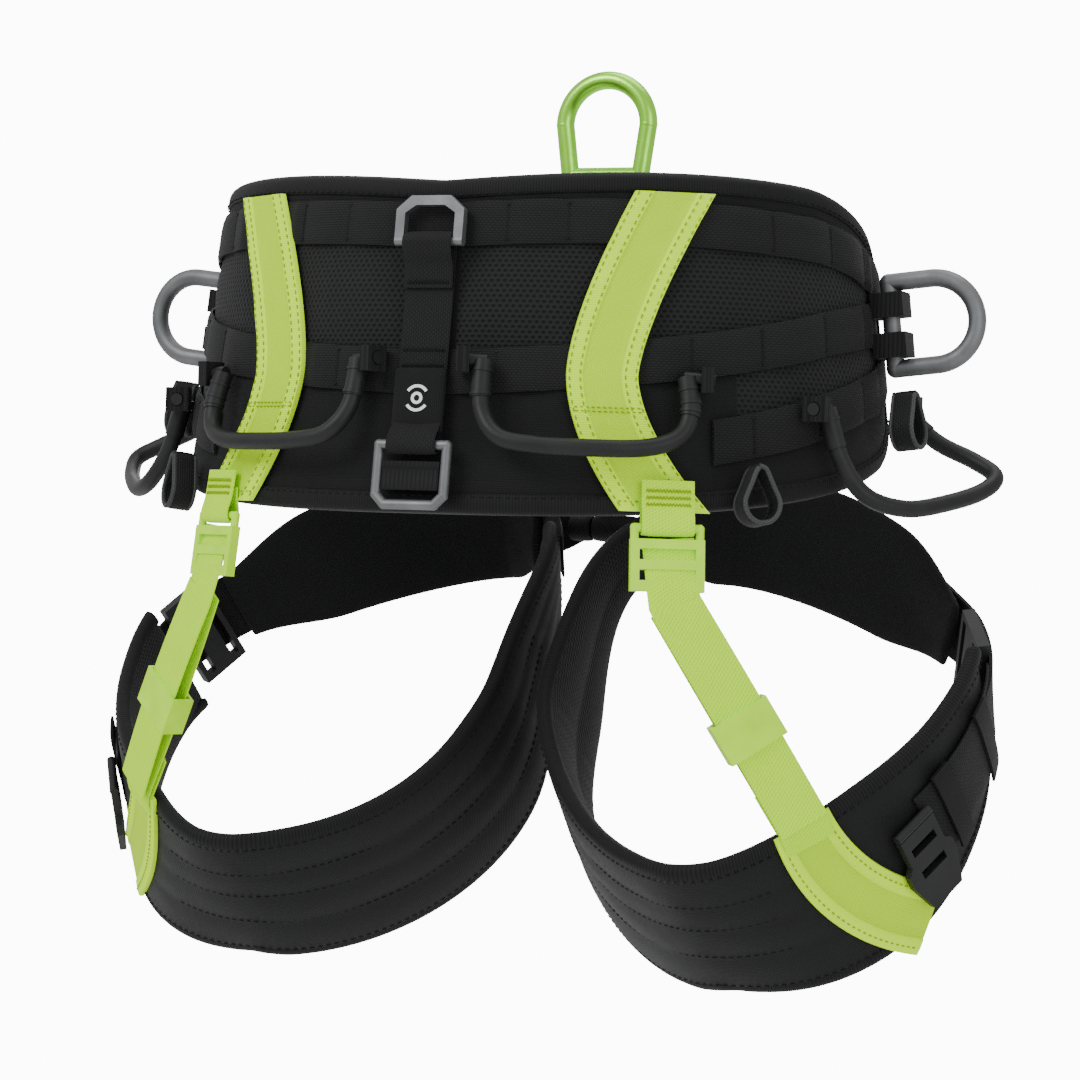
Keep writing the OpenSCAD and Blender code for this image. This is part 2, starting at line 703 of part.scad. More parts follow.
// A point on the loop: up is across the pad, out is away from the thigh
function leg_face_pt(a, up, out) = leg_mid(a) + leg_side_dir(a) * up + leg_out_dir(a) * out;
function pad_width(a) = mix(34, thigh_pad_w, ease((a - pad_from) / 80)) - (a > 50 ? 18 * ease((a - 50) / 50) : 0);

// A sheet on the loop between two distances from its middle surface
module leg_sheet(from, to, width, outer, inner, cols = 2, n = leg_steps) {
    function grid(out) = [for (a = spread(from, to, n))
        [for (u = spread(-0.5, 0.5, cols)) leg_face_pt(a, u * width(a), out(u))]];
    slab(grid(inner), grid(outer));
}

module leg_layer(outer, inner, inset) {
    crown = function (d) function (u) d - 2.4 * pow(abs(u) * 2, 2);
    leg_sheet(pad_from, pad_to, function (a) pad_width(a) - 2 * inset, crown(outer), crown(inner), 4);
}

module leg_shell(side) {
    color("#202224") mirrored(side) leg_layer(leg_out, leg_out - leg_shell_t, 0);
}

module leg_foam(side) {
    color("#8a8a86") mirrored(side) leg_layer(leg_foam_t / 2 - gap / 2, gap / 2 - leg_foam_t / 2, 2);
}

module leg_liner(side) {
    color("#2c2e30") mirrored(side) leg_layer(-leg_foam_t / 2 - gap / 2, -leg_foam_t / 2 - gap / 2 - leg_liner_t, 0);
}

module leg_band(side) {
    w = function (a) thigh_band_w;
    color("#1f2022") mirrored(side) {
        leg_sheet(band_from, band_to, w, function (u) 3, function (u) -3, 2, 18);
        leg_link();
    }
}

// Loop of webbing that joins the thigh loop to the sling at the front
module leg_link() {
    translate(hip_hinge) rotate([0, 90, 0]) translate([0, 0, 14]) difference() {
        cylinder(h = 14, r = 8, $fn = 40);
        translate([0, 0, -1]) cylinder(h = 16, r = 5, $fn = 40);
    }
}

module leg_shell_left() leg_shell(-1);
module leg_shell_right() leg_shell(1);
module leg_foam_left() leg_foam(-1);
module leg_foam_right() leg_foam(1);
module leg_liner_left() leg_liner(-1);
module leg_liner_right() leg_liner(1);
module leg_band_left() leg_band(-1);
module leg_band_right() leg_band(1);

// Green tape: over the pad from the riser's foot and forward to the lower edge
module leg_tape(side) {
    edge = thigh_pad_w / 2;
    function route(u) = [riser_angle + 18 * pow(u, 2), mix(edge + 2, 4 - edge, u)];
    function heading(u) = let (a = route(max(0, u - 0.02)), b = route(min(1, u + 0.02)))
        unit([(b[0] - a[0]) * 2.2, b[1] - a[1]]);
    function grid(out) = [for (u = spread(0, 1, 12)) let (c = route(u), h = heading(u))
        [for (s = spread(-0.5, 0.5, 2)) let (up = c[1] + h[0] * s * tape_w)
            leg_face_pt(c[0] - h[1] * s * tape_w / 2.2, up, out - 2.4 * pow(min(1.1, abs(up) / edge), 2))]];
    color("#b9e51f") mirrored(side) slab(grid(leg_out + gap * 2), grid(leg_out + gap * 2 + webbing_t));
}

module leg_tape_left() leg_tape(-1);
module leg_tape_right() leg_tape(1);

// Outer webbing that leads the pad into the buckle
module leg_strap(side) {
    out = leg_out + gap * 2;
    color("#1c1d1f") mirrored(side)
        leg_sheet(66, pad_to + 1, function (a) 44, function (u) out + webbing_t, function (u) out, 2, 12);
}

module leg_strap_left() leg_strap(-1);
module leg_strap_right() leg_strap(1);

// Frame in the local directions of the loop: X along it, Y away from the thigh, Z across the pad
module at_leg(a, up = 0, out = 0) {
    x = leg_along(a);
    y = leg_out_dir(a);
    z = leg_side_dir(a);
    p = leg_face_pt(a, up, out);
    multmatrix([[x[0], y[0], z[0], p[0]], [x[1], y[1], z[1], p[1]], [x[2], y[2], z[2], p[2]]]) children();
}

module leg_buckle(side) {
    color("#6f7377") mirrored(side) at_leg(buckle_angle, 0, 2) difference() {
        cube([30, 7, 54], center = true);
        for (x = [-9, 9]) translate([x, 0, 0]) cube([5, 10, 46], center = true);
    }
}

module leg_buckle_left() leg_buckle(-1);
module leg_buckle_right() leg_buckle(1);

// Barbed clip that hangs over the pad from a short tab
clip_angle = 58;
module leg_clip(side) {
    color("#191a1b") mirrored(side) at_leg(clip_angle, 14, leg_out + 6) {
        rotate([0, 90, 0]) cylinder(h = 26, r = 2.5, center = true, $fn = 32);
        translate([0, 0, -3]) rotate([90, 0, 0]) linear_extrude(height = 4, center = true) difference() {
            polygon([[-13, 1], [13, 1], [13, -16], [17, -20], [17, -28], [11, -46], [-11, -46], [-17, -28],
                [-17, -20], [-13, -16]]);
            for (y = [-9, -24]) translate([-9, y - 3]) square([18, 5]);
        }
    }
}

module leg_clip_left() leg_clip(-1);
module leg_clip_right() leg_clip(1);

belt_shell();
belt_foam();
belt_liner();
binding_top();
binding_bottom();
mesh_panels();
webbing_upper();
webbing_middle();
webbing_lower();
spine_strap();
tag_pocket();
scan_tag();
yoke_left();
yoke_right();
riser_tabs();
gear_anchors();
ring_blocks();
waist_straps();
waist_buckle_frame();
waist_buckle_tongue();
waist_latch_upper();
waist_latch_lower();
waist_keeper();
front_bridge();
front_ring();
side_ring_left();
side_ring_right();
spine_hanger();
lower_hanger();
hanger_patch();
gear_loop_rear_left();
gear_loop_rear_right();
gear_loop_side_left();
gear_loop_side_right();
tool_loop_left();
tool_loop_right();
tool_loop_hip_left();
tool_loop_hip_right();
ladder_lock_left();
ladder_lock_right();
riser_left();
riser_right();
riser_keeper_left();
riser_keeper_right();
leg_shell_left();
leg_shell_right();
leg_foam_left();
leg_foam_right();
leg_liner_left();
leg_liner_right();
leg_band_left();
leg_band_right();
leg_tape_left();
leg_tape_right();
leg_strap_left();
leg_strap_right();
leg_buckle_left();
leg_buckle_right();
leg_clip_left();
leg_clip_right();
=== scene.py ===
"""Looks of a tree climbing saddle: padded belt, green yokes and risers, thigh loops and metal rings."""

import logging
import math
from collections.abc import Callable, Sequence
from dataclasses import dataclass, field
from enum import Enum

import bmesh
import bpy
import numpy as np
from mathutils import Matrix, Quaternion, Vector


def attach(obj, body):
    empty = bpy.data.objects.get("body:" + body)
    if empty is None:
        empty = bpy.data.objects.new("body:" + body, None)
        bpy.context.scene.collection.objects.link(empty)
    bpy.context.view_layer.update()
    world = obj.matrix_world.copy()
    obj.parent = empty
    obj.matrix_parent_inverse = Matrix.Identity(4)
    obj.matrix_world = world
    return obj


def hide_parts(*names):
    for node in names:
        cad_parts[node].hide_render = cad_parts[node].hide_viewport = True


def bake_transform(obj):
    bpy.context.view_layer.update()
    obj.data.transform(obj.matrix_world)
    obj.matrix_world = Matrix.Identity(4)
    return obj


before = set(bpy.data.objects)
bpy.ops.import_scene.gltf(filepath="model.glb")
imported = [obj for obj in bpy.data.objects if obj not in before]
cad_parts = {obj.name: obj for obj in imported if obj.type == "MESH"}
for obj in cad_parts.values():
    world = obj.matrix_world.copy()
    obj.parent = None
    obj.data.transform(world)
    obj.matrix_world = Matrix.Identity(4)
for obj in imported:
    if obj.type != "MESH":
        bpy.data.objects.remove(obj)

LOG = logging.getLogger("saddle")
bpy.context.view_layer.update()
MM = 0.001
Grid = np.ndarray


class Side(Enum):
    """Which half of the saddle a piece is on."""

    LEFT = -1
    RIGHT = 1

    @property
    def word(self) -> str:
        """The half's name as the nodes spell it."""
        return self.name.lower()

    @property
    def flip(self) -> np.ndarray:
        """Factors that move a point of the right half to this one."""
        return np.array([self.value, 1, 1])


class Weave(Enum):
    """How a textile is made, which sets its relief."""

    WEBBING = "webbing"
    PLAIN = "plain"
    RIBBED = "ribbed"
    SPACER = "spacer"
    TWILL = "twill"


# ---------------------------------------------------------------- numbers and vectors


def ease(u: float) -> float:
    """A smooth step from 0 to 1."""
    u = min(1.0, max(0.0, u))
    return u * u * (3 - 2 * u)


def mix(a: float, b: float, u: float) -> float:
    """The value a share u of the way from a to b."""
    return a + (b - a) * u


def unit(v: np.ndarray) -> np.ndarray:
    """The vector at length 1, or each of several vectors."""
    return v / np.maximum(np.linalg.norm(v, axis=-1, keepdims=True), 1e-12)


def sind(a: float) -> float:
    """Sine of an angle in degrees."""
    return math.sin(math.radians(a))


def cosd(a: float) -> float:
    """Cosine of an angle in degrees."""
    return math.cos(math.radians(a))


def spline(points: Sequence[Sequence[float]], steps: int) -> np.ndarray:
    """A smooth line through the points.

    Args:
        points: the points to pass through.
        steps: pieces in each stretch.

    Returns:
        The points of the line, one per row.
    """
    p = np.array(points, float)
    last = len(p) - 1
    rows = []
    for i in range(last):
        a, b, c, d = p[max(i - 1, 0)], p[i], p[i + 1], p[min(i + 2, last)]
        for u in np.arange(steps) / steps:
            square, cube = 2 * a - 5 * b + 4 * c - d, 3 * b - a - 3 * c + d
            rows.append(0.5 * (2 * b + (c - a) * u + square * u**2 + cube * u**3))
    rows.append(p[last])
    return np.array(rows)


def wobble(x: float, y: float, seed: int = 0) -> float:
    """A gentle wave over a surface, from -1 to 1, for wrinkles that don't repeat."""
    return (
        math.sin(1.7 * x + 0.9 * y + seed)
        + 0.6 * math.sin(2.9 * x - 1.3 * y + 2.1 * seed)
        + 0.4 * math.sin(5.3 * x + 2.2 * y + 0.7 * seed)
    ) / 2


# ---------------------------------------------------------------- finishes


class Graph:
    """Builds one material's nodes."""

    def __init__(self, name: str) -> None:
        """Starts an empty material with a Principled shader.

        Args:
            name: the material's name.
        """
        self.material = bpy.data.materials.new(name)
        self.material.use_nodes = True
        self.tree = self.material.node_tree
        self.tree.nodes.clear()
        self.shader = self.node("ShaderNodeBsdfPrincipled")
        output = self.node("ShaderNodeOutputMaterial")
        self.tree.links.new(self.shader.outputs["BSDF"], output.inputs["Surface"])

    def node(self, kind: str, **settings: object) -> bpy.types.Node:
        """Adds a node.

        Args:
            kind: the node's type name.
            settings: its properties by name.

        Returns:
            The node.
        """
        made = self.tree.nodes.new(kind)
        for key, value in settings.items():
            setattr(made, key, value)
        return made

    def put(self, socket: bpy.types.NodeSocket, value: object) -> None:
        """Links an output, or sets a plain value, on an input socket."""
        if isinstance(value, bpy.types.NodeSocket):
            self.tree.links.new(value, socket)
        else:
            socket.default_value = value

    def math(self, operation: str, a: object, b: object = 0.0, clamp: bool = False) -> bpy.types.NodeSocket:
        """Adds a Math node.

        Args:
            operation: what it does.
            a: first value or socket.
            b: second value or socket.
            clamp: whether the result stays from 0 to 1.

        Returns:
            Its output.
        """
        made = self.node("ShaderNodeMath", operation=operation, use_clamp=clamp)
        self.put(made.inputs[0], a)
        self.put(made.inputs[1], b)
        return made.outputs[0]

    def plus(self, a: object, b: object, clamp: bool = False) -> bpy.types.NodeSocket:
        """Adds two values or sockets."""
        return self.math("ADD", a, b, clamp)

    def minus(self, a: object, b: object) -> bpy.types.NodeSocket:
        """Takes b from a."""
        return self.math("SUBTRACT", a, b)

    def times(self, a: object, b: object, clamp: bool = False) -> bpy.types.NodeSocket:
        """Multiplies two values or sockets."""
        return self.math("MULTIPLY", a, b, clamp)

    def over(self, a: object, b: object) -> bpy.types.NodeSocket:
        """Divides a by b."""
        return self.math("DIVIDE", a, b)

    def humps(self, angle: object) -> bpy.types.NodeSocket:
        """A row of rounded humps from 0 to 1, one for each half turn."""
        return self.math("ABSOLUTE", self.math("SINE", angle))

    def noise(self, where: bpy.types.NodeSocket, scale: float, detail: float = 3.0) -> bpy.types.NodeSocket:
        """Adds noise from 0 to 1 at a scale in cells per metre and returns its output."""
        made = self.node("ShaderNodeTexNoise")
        self.put(made.inputs["Vector"], where)
        self.put(made.inputs["Scale"], scale)
        self.put(made.inputs["Detail"], detail)
        return made.outputs["Fac"]

    def blend(self, share: object, a: Sequence[float], b: Sequence[float]) -> bpy.types.NodeSocket:
        """Mixes two colours.

        Args:
            share: how much of b there is.
            a: colour at share 0.
            b: colour at share 1.

        Returns:
            The mixed colour.
        """
        made = self.node("ShaderNodeMix", data_type="RGBA")
        self.put(made.inputs["Factor"], share)
        made.inputs[6].default_value = (*a, 1)
        made.inputs[7].default_value = (*b, 1)
        return made.outputs[2]

    def bump(self, height: bpy.types.NodeSocket, depth: float, strength: float = 1.0) -> None:
        """Gives the shader a relief.

        Args:
            height: from 0 to 1.
            depth: height in metres at 1.
            strength: how much of it shows.
        """
        made = self.node("ShaderNodeBump")
        made.inputs["Strength"].default_value = strength
        made.inputs["Distance"].default_value = depth
        self.put(made.inputs["Height"], height)
        self.tree.links.new(made.outputs["Normal"], self.shader.inputs["Normal"])


# How much of a textile's sheen shows, and how little fabric and plastic shine.
SHEEN_SHARE, CLOTH_SHINE, PLASTIC_SHINE = 0.25, 0.1, 0.22


class Finish:
    """A surface's look, painted on a material that is built once."""

    name: str

    def material(self) -> bpy.types.Material:
        """Builds the material once and returns it."""
        found = bpy.data.materials.get(self.name)
        if found:
            return found
        g = Graph(self.name)
        self.paint(g, g.node("ShaderNodeTexCoord").outputs["Object"])
        return g.material


@dataclass(frozen=True)
class Textile(Finish):
    """A fabric: its colour, weave, how soft it looks and how much shade is painted into its weave's grooves.
    """

    name: str
    colour: tuple[float, float, float]
    weave: Weave
    pitch: float
    depth: float = 0.00025
    roughness: float = 0.8
    sheen: float = 0.15
    # Share of the colour left in the weave's grooves and the spacer's holes: painted shade.
    shade: float = 0.45
    loose: bool = False

    def relief(self, g: Graph, u: bpy.types.NodeSocket, v: bpy.types.NodeSocket) -> bpy.types.NodeSocket:
        """The weave's height.

        Args:
            g: the material's graph.
            u: metres along the piece.
            v: metres across it.

        Returns:
            A height from 0 to 1.
        """
        p = self.pitch
        if self.weave is Weave.RIBBED:
            return g.humps(g.times(u, math.pi / p))
        row = g.math("FLOOR", g.over(v, p))
        half = g.times(g.math("FLOORED_MODULO", row, 2.0), 0.5)
        if self.weave is Weave.SPACER:
            dx = g.minus(g.math("FRACT", g.plus(g.over(u, p * 1.35), half)), 0.5)
            dy = g.minus(g.math("FRACT", g.over(v, p)), 0.5)
            squares = g.plus(g.times(dx, dx), g.times(dy, dy))
            return g.times(g.minus(g.math("SQRT", squares), 0.16), 4.2, True)
        if self.weave is Weave.TWILL:
            slant = g.plus(g.over(u, p * 1.2), g.over(v, p * 2.2))
            twill = g.humps(g.times(slant, math.pi))
            cords = g.humps(g.times(v, math.pi / p))
            return g.plus(g.times(twill, 0.6), g.times(cords, 0.4))
        longer = p * (1.7 if self.weave is Weave.WEBBING else 1.0)
        knots = g.plus(g.over(u, longer), half)
        warp = g.humps(g.times(knots, math.pi))
        cords = g.humps(g.times(v, math.pi / p))
        return g.times(g.math("POWER", cords, 0.6), g.math("POWER", warp, 0.5))

    def paint(self, g: Graph, place: bpy.types.NodeSocket) -> None:
        """Paints the graph's material, with place in metres on the piece."""
        run = place if self.loose else g.node("ShaderNodeAttribute", attribute_name="run").outputs["Vector"]
        split = g.node("ShaderNodeSeparateXYZ")
        g.put(split.inputs[0], run)
        height = self.relief(g, split.outputs[0], split.outputs[1])
        cloudy = g.noise(place, 55.0)
        fuzz = g.noise(place, 1900.0, 2.0)
        # Painted shade and light: the weave's grooves and the spacer's holes are darkened to a share of the
        # colour, and the raised threads are painted a little lighter; cloudy noise adds tone that differs at
        # random.
        dark = tuple(c * self.shade for c in self.colour)
        light = tuple(min(1.0, c * 1.12 + 0.004) for c in self.colour)
        share = g.plus(g.times(height, 0.75), g.times(cloudy, 0.4), True)
        g.put(g.shader.inputs["Base Color"], g.blend(share, dark, light))
        rough = g.plus(g.times(cloudy, 0.16), self.roughness - 0.1, True)
        g.put(g.shader.inputs["Roughness"], rough)
        g.shader.inputs["Sheen Weight"].default_value = self.sheen * SHEEN_SHARE
        g.shader.inputs["Sheen Roughness"].default_value = 0.45
        g.shader.inputs["Specular IOR Level"].default_value = CLOTH_SHINE
        g.bump(g.plus(height, g.times(fuzz, 0.35)), self.depth)


@dataclass(frozen=True)
class Alloy(Finish):
    """A forged metal: its colour and how worn its skin is."""

    name: str
    colour: tuple[float, float, float]
    roughness: float = 0.42
    worn: float = 0.5

    def paint(self, g: Graph, place: bpy.types.NodeSocket) -> None:
        """Paints the graph's material, with place in metres on the piece."""
        blast = g.noise(place, 1400.0, 2.0)
        stain = g.noise(place, 70.0, 4.0)
        stretch = g.node("ShaderNodeMapping")
        g.put(stretch.inputs["Vector"], place)
        stretch.inputs["Scale"].default_value = (1, 1, 9)
        rubs = g.math("GREATER_THAN", g.noise(stretch.outputs[0], 230.0, 5.0), 0.66)
        share = g.plus(g.times(stain, 0.7), g.times(rubs, 0.3 * self.worn), True)
        pale = tuple(min(1.0, c * 1.25 + 0.06) for c in self.colour)
        g.put(g.shader.inputs["Base Color"], g.blend(share, tuple(c * 0.72 for c in self.colour), pale))
        g.shader.inputs["Metallic"].default_value = 0.88
        rough = g.minus(self.roughness + 0.1, g.times(stain, 0.2))
        g.put(g.shader.inputs["Roughness"], rough)
        g.bump(blast, 0.00012, 0.6)


@dataclass(frozen=True)
class Moulding(Finish):
    """A moulded plastic or rubber: its colour and grain."""

    name: str
    colour: tuple[float, float, float]
    roughness: float = 0.5
    grain: float = 0.0001

    def paint(self, g: Graph, place: bpy.types.NodeSocket) -> None:
        """Paints the graph's material, with place in metres on the piece."""
        grain = g.noise(place, 1100.0, 2.0)
        cloudy = g.noise(place, 60.0, 3.0)
        pale = tuple(min(1.0, c * 1.2 + 0.01) for c in self.colour)
        g.put(g.shader.inputs["Base Color"], g.blend(cloudy, tuple(c * 0.8 for c in self.colour), pale))
        rough = g.plus(g.times(cloudy, 0.2), self.roughness - 0.1)
        g.put(g.shader.inputs["Roughness"], rough)
        g.shader.inputs["Specular IOR Level"].default_value = PLASTIC_SHINE
        g.bump(grain, self.grain)


SHELL = Textile("shell_textile", (0.0077, 0.0079, 0.0083), Weave.PLAIN, 0.0011, 0.0002, 0.78)
EDGE = Textile("smooth_binding", (0.0065, 0.0066, 0.0071), Weave.RIBBED, 0.0016, 0.00012, 0.62, 0.1)
SPACER = Textile("spacer_mesh", (0.0099, 0.0102, 0.0107), Weave.SPACER, 0.0026, 0.0006, 0.8, 0.2, 0.35)
BLACK_WEBBING = Textile("black_webbing", (0.0093, 0.0095, 0.01), Weave.WEBBING, 0.0013, 0.0003, 0.66)
LINER = Textile("soft_liner", (0.0081, 0.0082, 0.0088), Weave.SPACER, 0.0022, 0.0004, 0.9, 0.25, 0.4)
PAD_SKIN = Textile("stretch_skin", (0.0074, 0.0076, 0.0081), Weave.TWILL, 0.0011, 0.00018, 0.6, 0.2)
GREEN_CORE = Textile("green_centre", (0.43, 0.72, 0.001), Weave.PLAIN, 0.0012, 0.00016, 0.7, 0.05, 0.92)
GREEN_EDGE = Textile("green_edge", (0.56, 0.98, 0.004), Weave.RIBBED, 0.0012, 0.00016, 0.7, 0.05, 0.92)
GREEN_WEBBING = Textile("green_elastic", (0.48, 0.86, 0.002), Weave.TWILL, 0.0016, 0.00035, 0.72, 0.05, 0.84)
GREEN_THREAD = Textile("green_thread", (0.4, 0.62, 0.006), Weave.TWILL, 0.001, 0.0001)
BLACK_THREAD = Textile("black_thread", (0.0161, 0.0164, 0.0174), Weave.TWILL, 0.001, 0.0001)
FOLDED_WEBBING = Textile(
    "folded_webbing", (0.0087, 0.0089, 0.0094), Weave.WEBBING, 0.0014, 0.0003, 0.68, loose=True
)
GREY_EDGE = Textile("grey_edge", (0.0558, 0.057, 0.0589), Weave.WEBBING, 0.0012, 0.0002, 0.7)
FORGED_GREY = Alloy("forged_grey", (0.15, 0.153, 0.157), 0.54)
FORGED_GREEN = Alloy("forged_green", (0.3, 0.78, 0.04), 0.3, 0.3)
MOULDED_BLACK = Moulding("moulded_black", (0.0074, 0.0077, 0.0083), 0.48)
MOULDED_GREEN = Moulding("moulded_green", (0.45, 0.84, 0.001), 0.42)
MARK_WHITE = Moulding("mark_white", (0.72, 0.73, 0.74), 0.6, 0.00002)


# ---------------------------------------------------------------- pieces


@dataclass
class Piece:
    """A mesh in the row frame with the kind of finish of each face; settle puts it on its body and hides the
    nodes it stands for.
    """

    name: str
    points: list[Sequence[float]] = field(default_factory=list)
    faces: list[tuple[int, ...]] = field(default_factory=list)
    runs: list[tuple[float, float, float]] = field(default_factory=list)
    kinds: list[int] = field(default_factory=list)

    def sheet(self, outer: Grid, inner: Grid, run: Grid, kind: int = 0) -> "Piece":
        """Adds a closed sheet between two grids of points in millimetres.

        Args:
            outer: rows by columns by 3.
            inner: the same size as outer.
            run: rows by columns by 2, millimetres along and across the sheet.
            kind: which of the piece's materials it takes.

        Returns:
            This piece.
        """
        rows, cols = outer.shape[:2]
        base = len(self.points)
        for grid in (outer, inner):
            self.points += (grid.reshape(-1, 3) * MM).tolist()
            self.runs += [(a * MM, b * MM, 0.0) for a, b in run.reshape(-1, 2)]

        def at(i: int, j: int, k: int) -> int:
            """Index of a point: its row, its column and 0 for outer or 1 for inner."""
            return base + k * rows * cols + i * cols + j

        made = []
        for i in range(rows - 1):
            for j in range(cols - 1):
                made.append((at(i, j, 0), at(i + 1, j, 0), at(i + 1, j + 1, 0), at(i, j + 1, 0)))
                made.append((at(i, j, 1), at(i, j + 1, 1), at(i + 1, j + 1, 1), at(i + 1, j, 1)))
        right, far = cols - 1, rows - 1
        for i in range(rows - 1):
            made.append((at(i, 0, 0), at(i, 0, 1), at(i + 1, 0, 1), at(i + 1, 0, 0)))
            made.append((at(i, right, 0), at(i + 1, right, 0), at(i + 1, right, 1), at(i, right, 1)))
        for j in range(cols - 1):
            made.append((at(0, j, 0), at(0, j + 1, 0), at(0, j + 1, 1), at(0, j, 1)))
            made.append((at(far, j, 0), at(far, j, 1), at(far, j + 1, 1), at(far, j + 1, 0)))
        self.faces += made
        self.kinds += [kind] * len(made)
        return self

    def tube(self, path: np.ndarray, radius: float, sides: int = 16, kind: int = 0) -> "Piece":
        """Adds a closed round tube along a path in millimetres.

        Args:
            path: its points.
            radius: its radius.
            sides: faces round it.
            kind: which of the piece's materials it takes.

        Returns:
            This piece.
        """
        base = len(self.points)
        heading = unit(np.gradient(path, axis=0))
        across = np.cross(heading[0], [0.3, 0.2, 0.93])
        length = 0.0
        for i, p in enumerate(path):
            across = unit(across - heading[i] * (across @ heading[i]))
            over = np.cross(heading[i], across)
            length += float(np.linalg.norm(p - path[i - 1])) if i else 0.0
            for k in range(sides):
                a = 2 * math.pi * k / sides
                self.points.append((p + radius * (math.cos(a) * across + math.sin(a) * over)) * MM)
                self.runs.append((length * MM, radius * a * MM, 0.0))
        made = []
        for i in range(len(path) - 1):
            here, there = base + i * sides, base + (i + 1) * sides
            for k in range(sides):
                after = (k + 1) % sides
                made.append((here + k, here + after, there + after, there + k))
        made.append(tuple(base + k for k in range(sides)))
        made.append(tuple(base + (len(path) - 1) * sides + k for k in range(sides)))
        self.faces += made
        self.kinds += [kind] * len(made)
        return self

    def build(self, finishes: Sequence[Finish], smooth: float = 42.0) -> bpy.types.Object:
        """Makes the Blender object.

        Args:
            finishes: one for each kind of face.
            smooth: edges sharper than this angle stay sharp.

        Returns:
            The object, at the origin.
        """
        mesh = bpy.data.meshes.new(self.name)
        mesh.from_pydata([tuple(p) for p in self.points], [], self.faces)
        runs = mesh.attributes.new("run", "FLOAT_VECTOR", "POINT")
        runs.data.foreach_set("vector", np.array(self.runs, np.float32).ravel())
        for finish in finishes:
            mesh.materials.append(finish.material())
        mesh.polygons.foreach_set("material_index", np.array(self.kinds, np.int32))
        work = bmesh.new()
        work.from_mesh(mesh)
        bmesh.ops.recalc_face_normals(work, faces=work.faces)
        work.to_mesh(mesh)
        work.free()
        mesh.polygons.foreach_set("use_smooth", [True] * len(mesh.polygons))
        mesh.set_sharp_from_angle(angle=math.radians(smooth))
        made = bpy.data.objects.new(self.name, mesh)
        bpy.context.scene.collection.objects.link(made)
        return made


@dataclass(frozen=True)
class Bend:
    """Two bodies a piece runs between, and where it starts and ends, in millimetres."""

    first: str
    second: str
    start: np.ndarray
    end: np.ndarray


def settle(
    made: bpy.types.Object, body: str | Bend, nodes: Sequence[str] = ()
) -> bpy.types.Object:
    """Puts a finished piece on its body, or leaves one that runs between two bodies where it is, and hides
    the CAD nodes it replaces.

    Args:
        made: the piece.
        body: the CAD body it moves with, or the two it runs between, in which case it is put on neither.
        nodes: CAD nodes it replaces.

    Returns:
        The piece.
    """
    if isinstance(body, Bend):
        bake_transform(made)
    else:
        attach(made, body)
    if nodes:
        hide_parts(*nodes)
    LOG.info("%s: %d faces on %s", made.name, len(made.data.polygons), body)
    return made


def round_profile(columns: int, softness: float = 0.45) -> np.ndarray:
    """Share of a strap's thickness at each column, lower at its two edges."""
    u = np.linspace(-1, 1, columns)
    return 1 - softness * np.abs(u) ** 10


# ---------------------------------------------------------------- forms that the pieces follow


@dataclass(frozen=True)
class BeltForm:
    """The belt's outer surface in millimetres: t is degrees round from the spine, z the height."""

    half_width: float = 200
    back_depth: float = 158
    front_depth: float = 112
    taper: float = 20
    low: float = 12
    height: float = 172
    end_height: float = 90
    wrap: float = 112
    end_rise: float = 52
    kidney_rise: float = 6
    shoulder: float = 70
    thickness: float = 13.6
    binding: float = 11

    def bottom(self, t: float) -> float:
        """Height of the lower edge."""
        return self.low + self.end_rise * min(1.0, abs(t) / self.wrap) ** 2.6

    def top(self, t: float) -> float:
        """Height of the upper edge."""
        drop = self.height - self.end_rise - self.end_height
        past = max(0.0, abs(t) - self.shoulder) / (self.wrap - self.shoulder)
        return self.low + self.height + self.kidney_rise * sind(min(180.0, 2 * abs(t))) - drop * past**1.6

    def point(self, t: float, z: float, out: float = 0.0) -> np.ndarray:
        """The point at an angle and height, out from the surface."""
        cone = self.taper * (z - self.low) / self.height
        front = 90 < abs(t) < 270
        swing = math.copysign(math.sqrt(abs(sind(t))), sind(t)) if front else sind(t)
        depth = (self.front_depth if abs(t) > 90 else self.back_depth) - cone + out
        return np.array([(self.half_width - cone + out) * swing, -depth * cosd(t), z])

    def share(self, t: float, run: tuple[float, float]) -> float:
        """Height of a webbing run: a share of the belt's height, and what that gains towards the ends."""
        return mix(self.bottom(t), self.top(t), run[0] + run[1] * (abs(t) / self.wrap) ** 2)

    def along(self, t: float, z: float) -> np.ndarray:
        """Unit direction along the belt, towards larger angles."""
        return unit(self.point(t + 0.5, z) - self.point(t - 0.5, z))

    def per_degree(self, t: float, z: float) -> float:
        """Millimetres along the belt for each degree."""
        return float(np.linalg.norm(self.point(t + 0.5, z) - self.point(t - 0.5, z)))

    def outward(self, t: float, z: float) -> np.ndarray:
        """Unit direction away from the wearer."""
        return unit(np.cross(self.along(t, z), self.point(t, z + 1) - self.point(t, z)))

    def frame(self, t: float, z: float, out: float) -> tuple[np.ndarray, np.ndarray, np.ndarray, np.ndarray]:
        """Origin, along, inward and up directions of a piece on the belt's face."""
        x = self.along(t, z)
        inward = -self.outward(t, z)
        return self.point(t, z, out), x, inward, np.cross(x, inward)


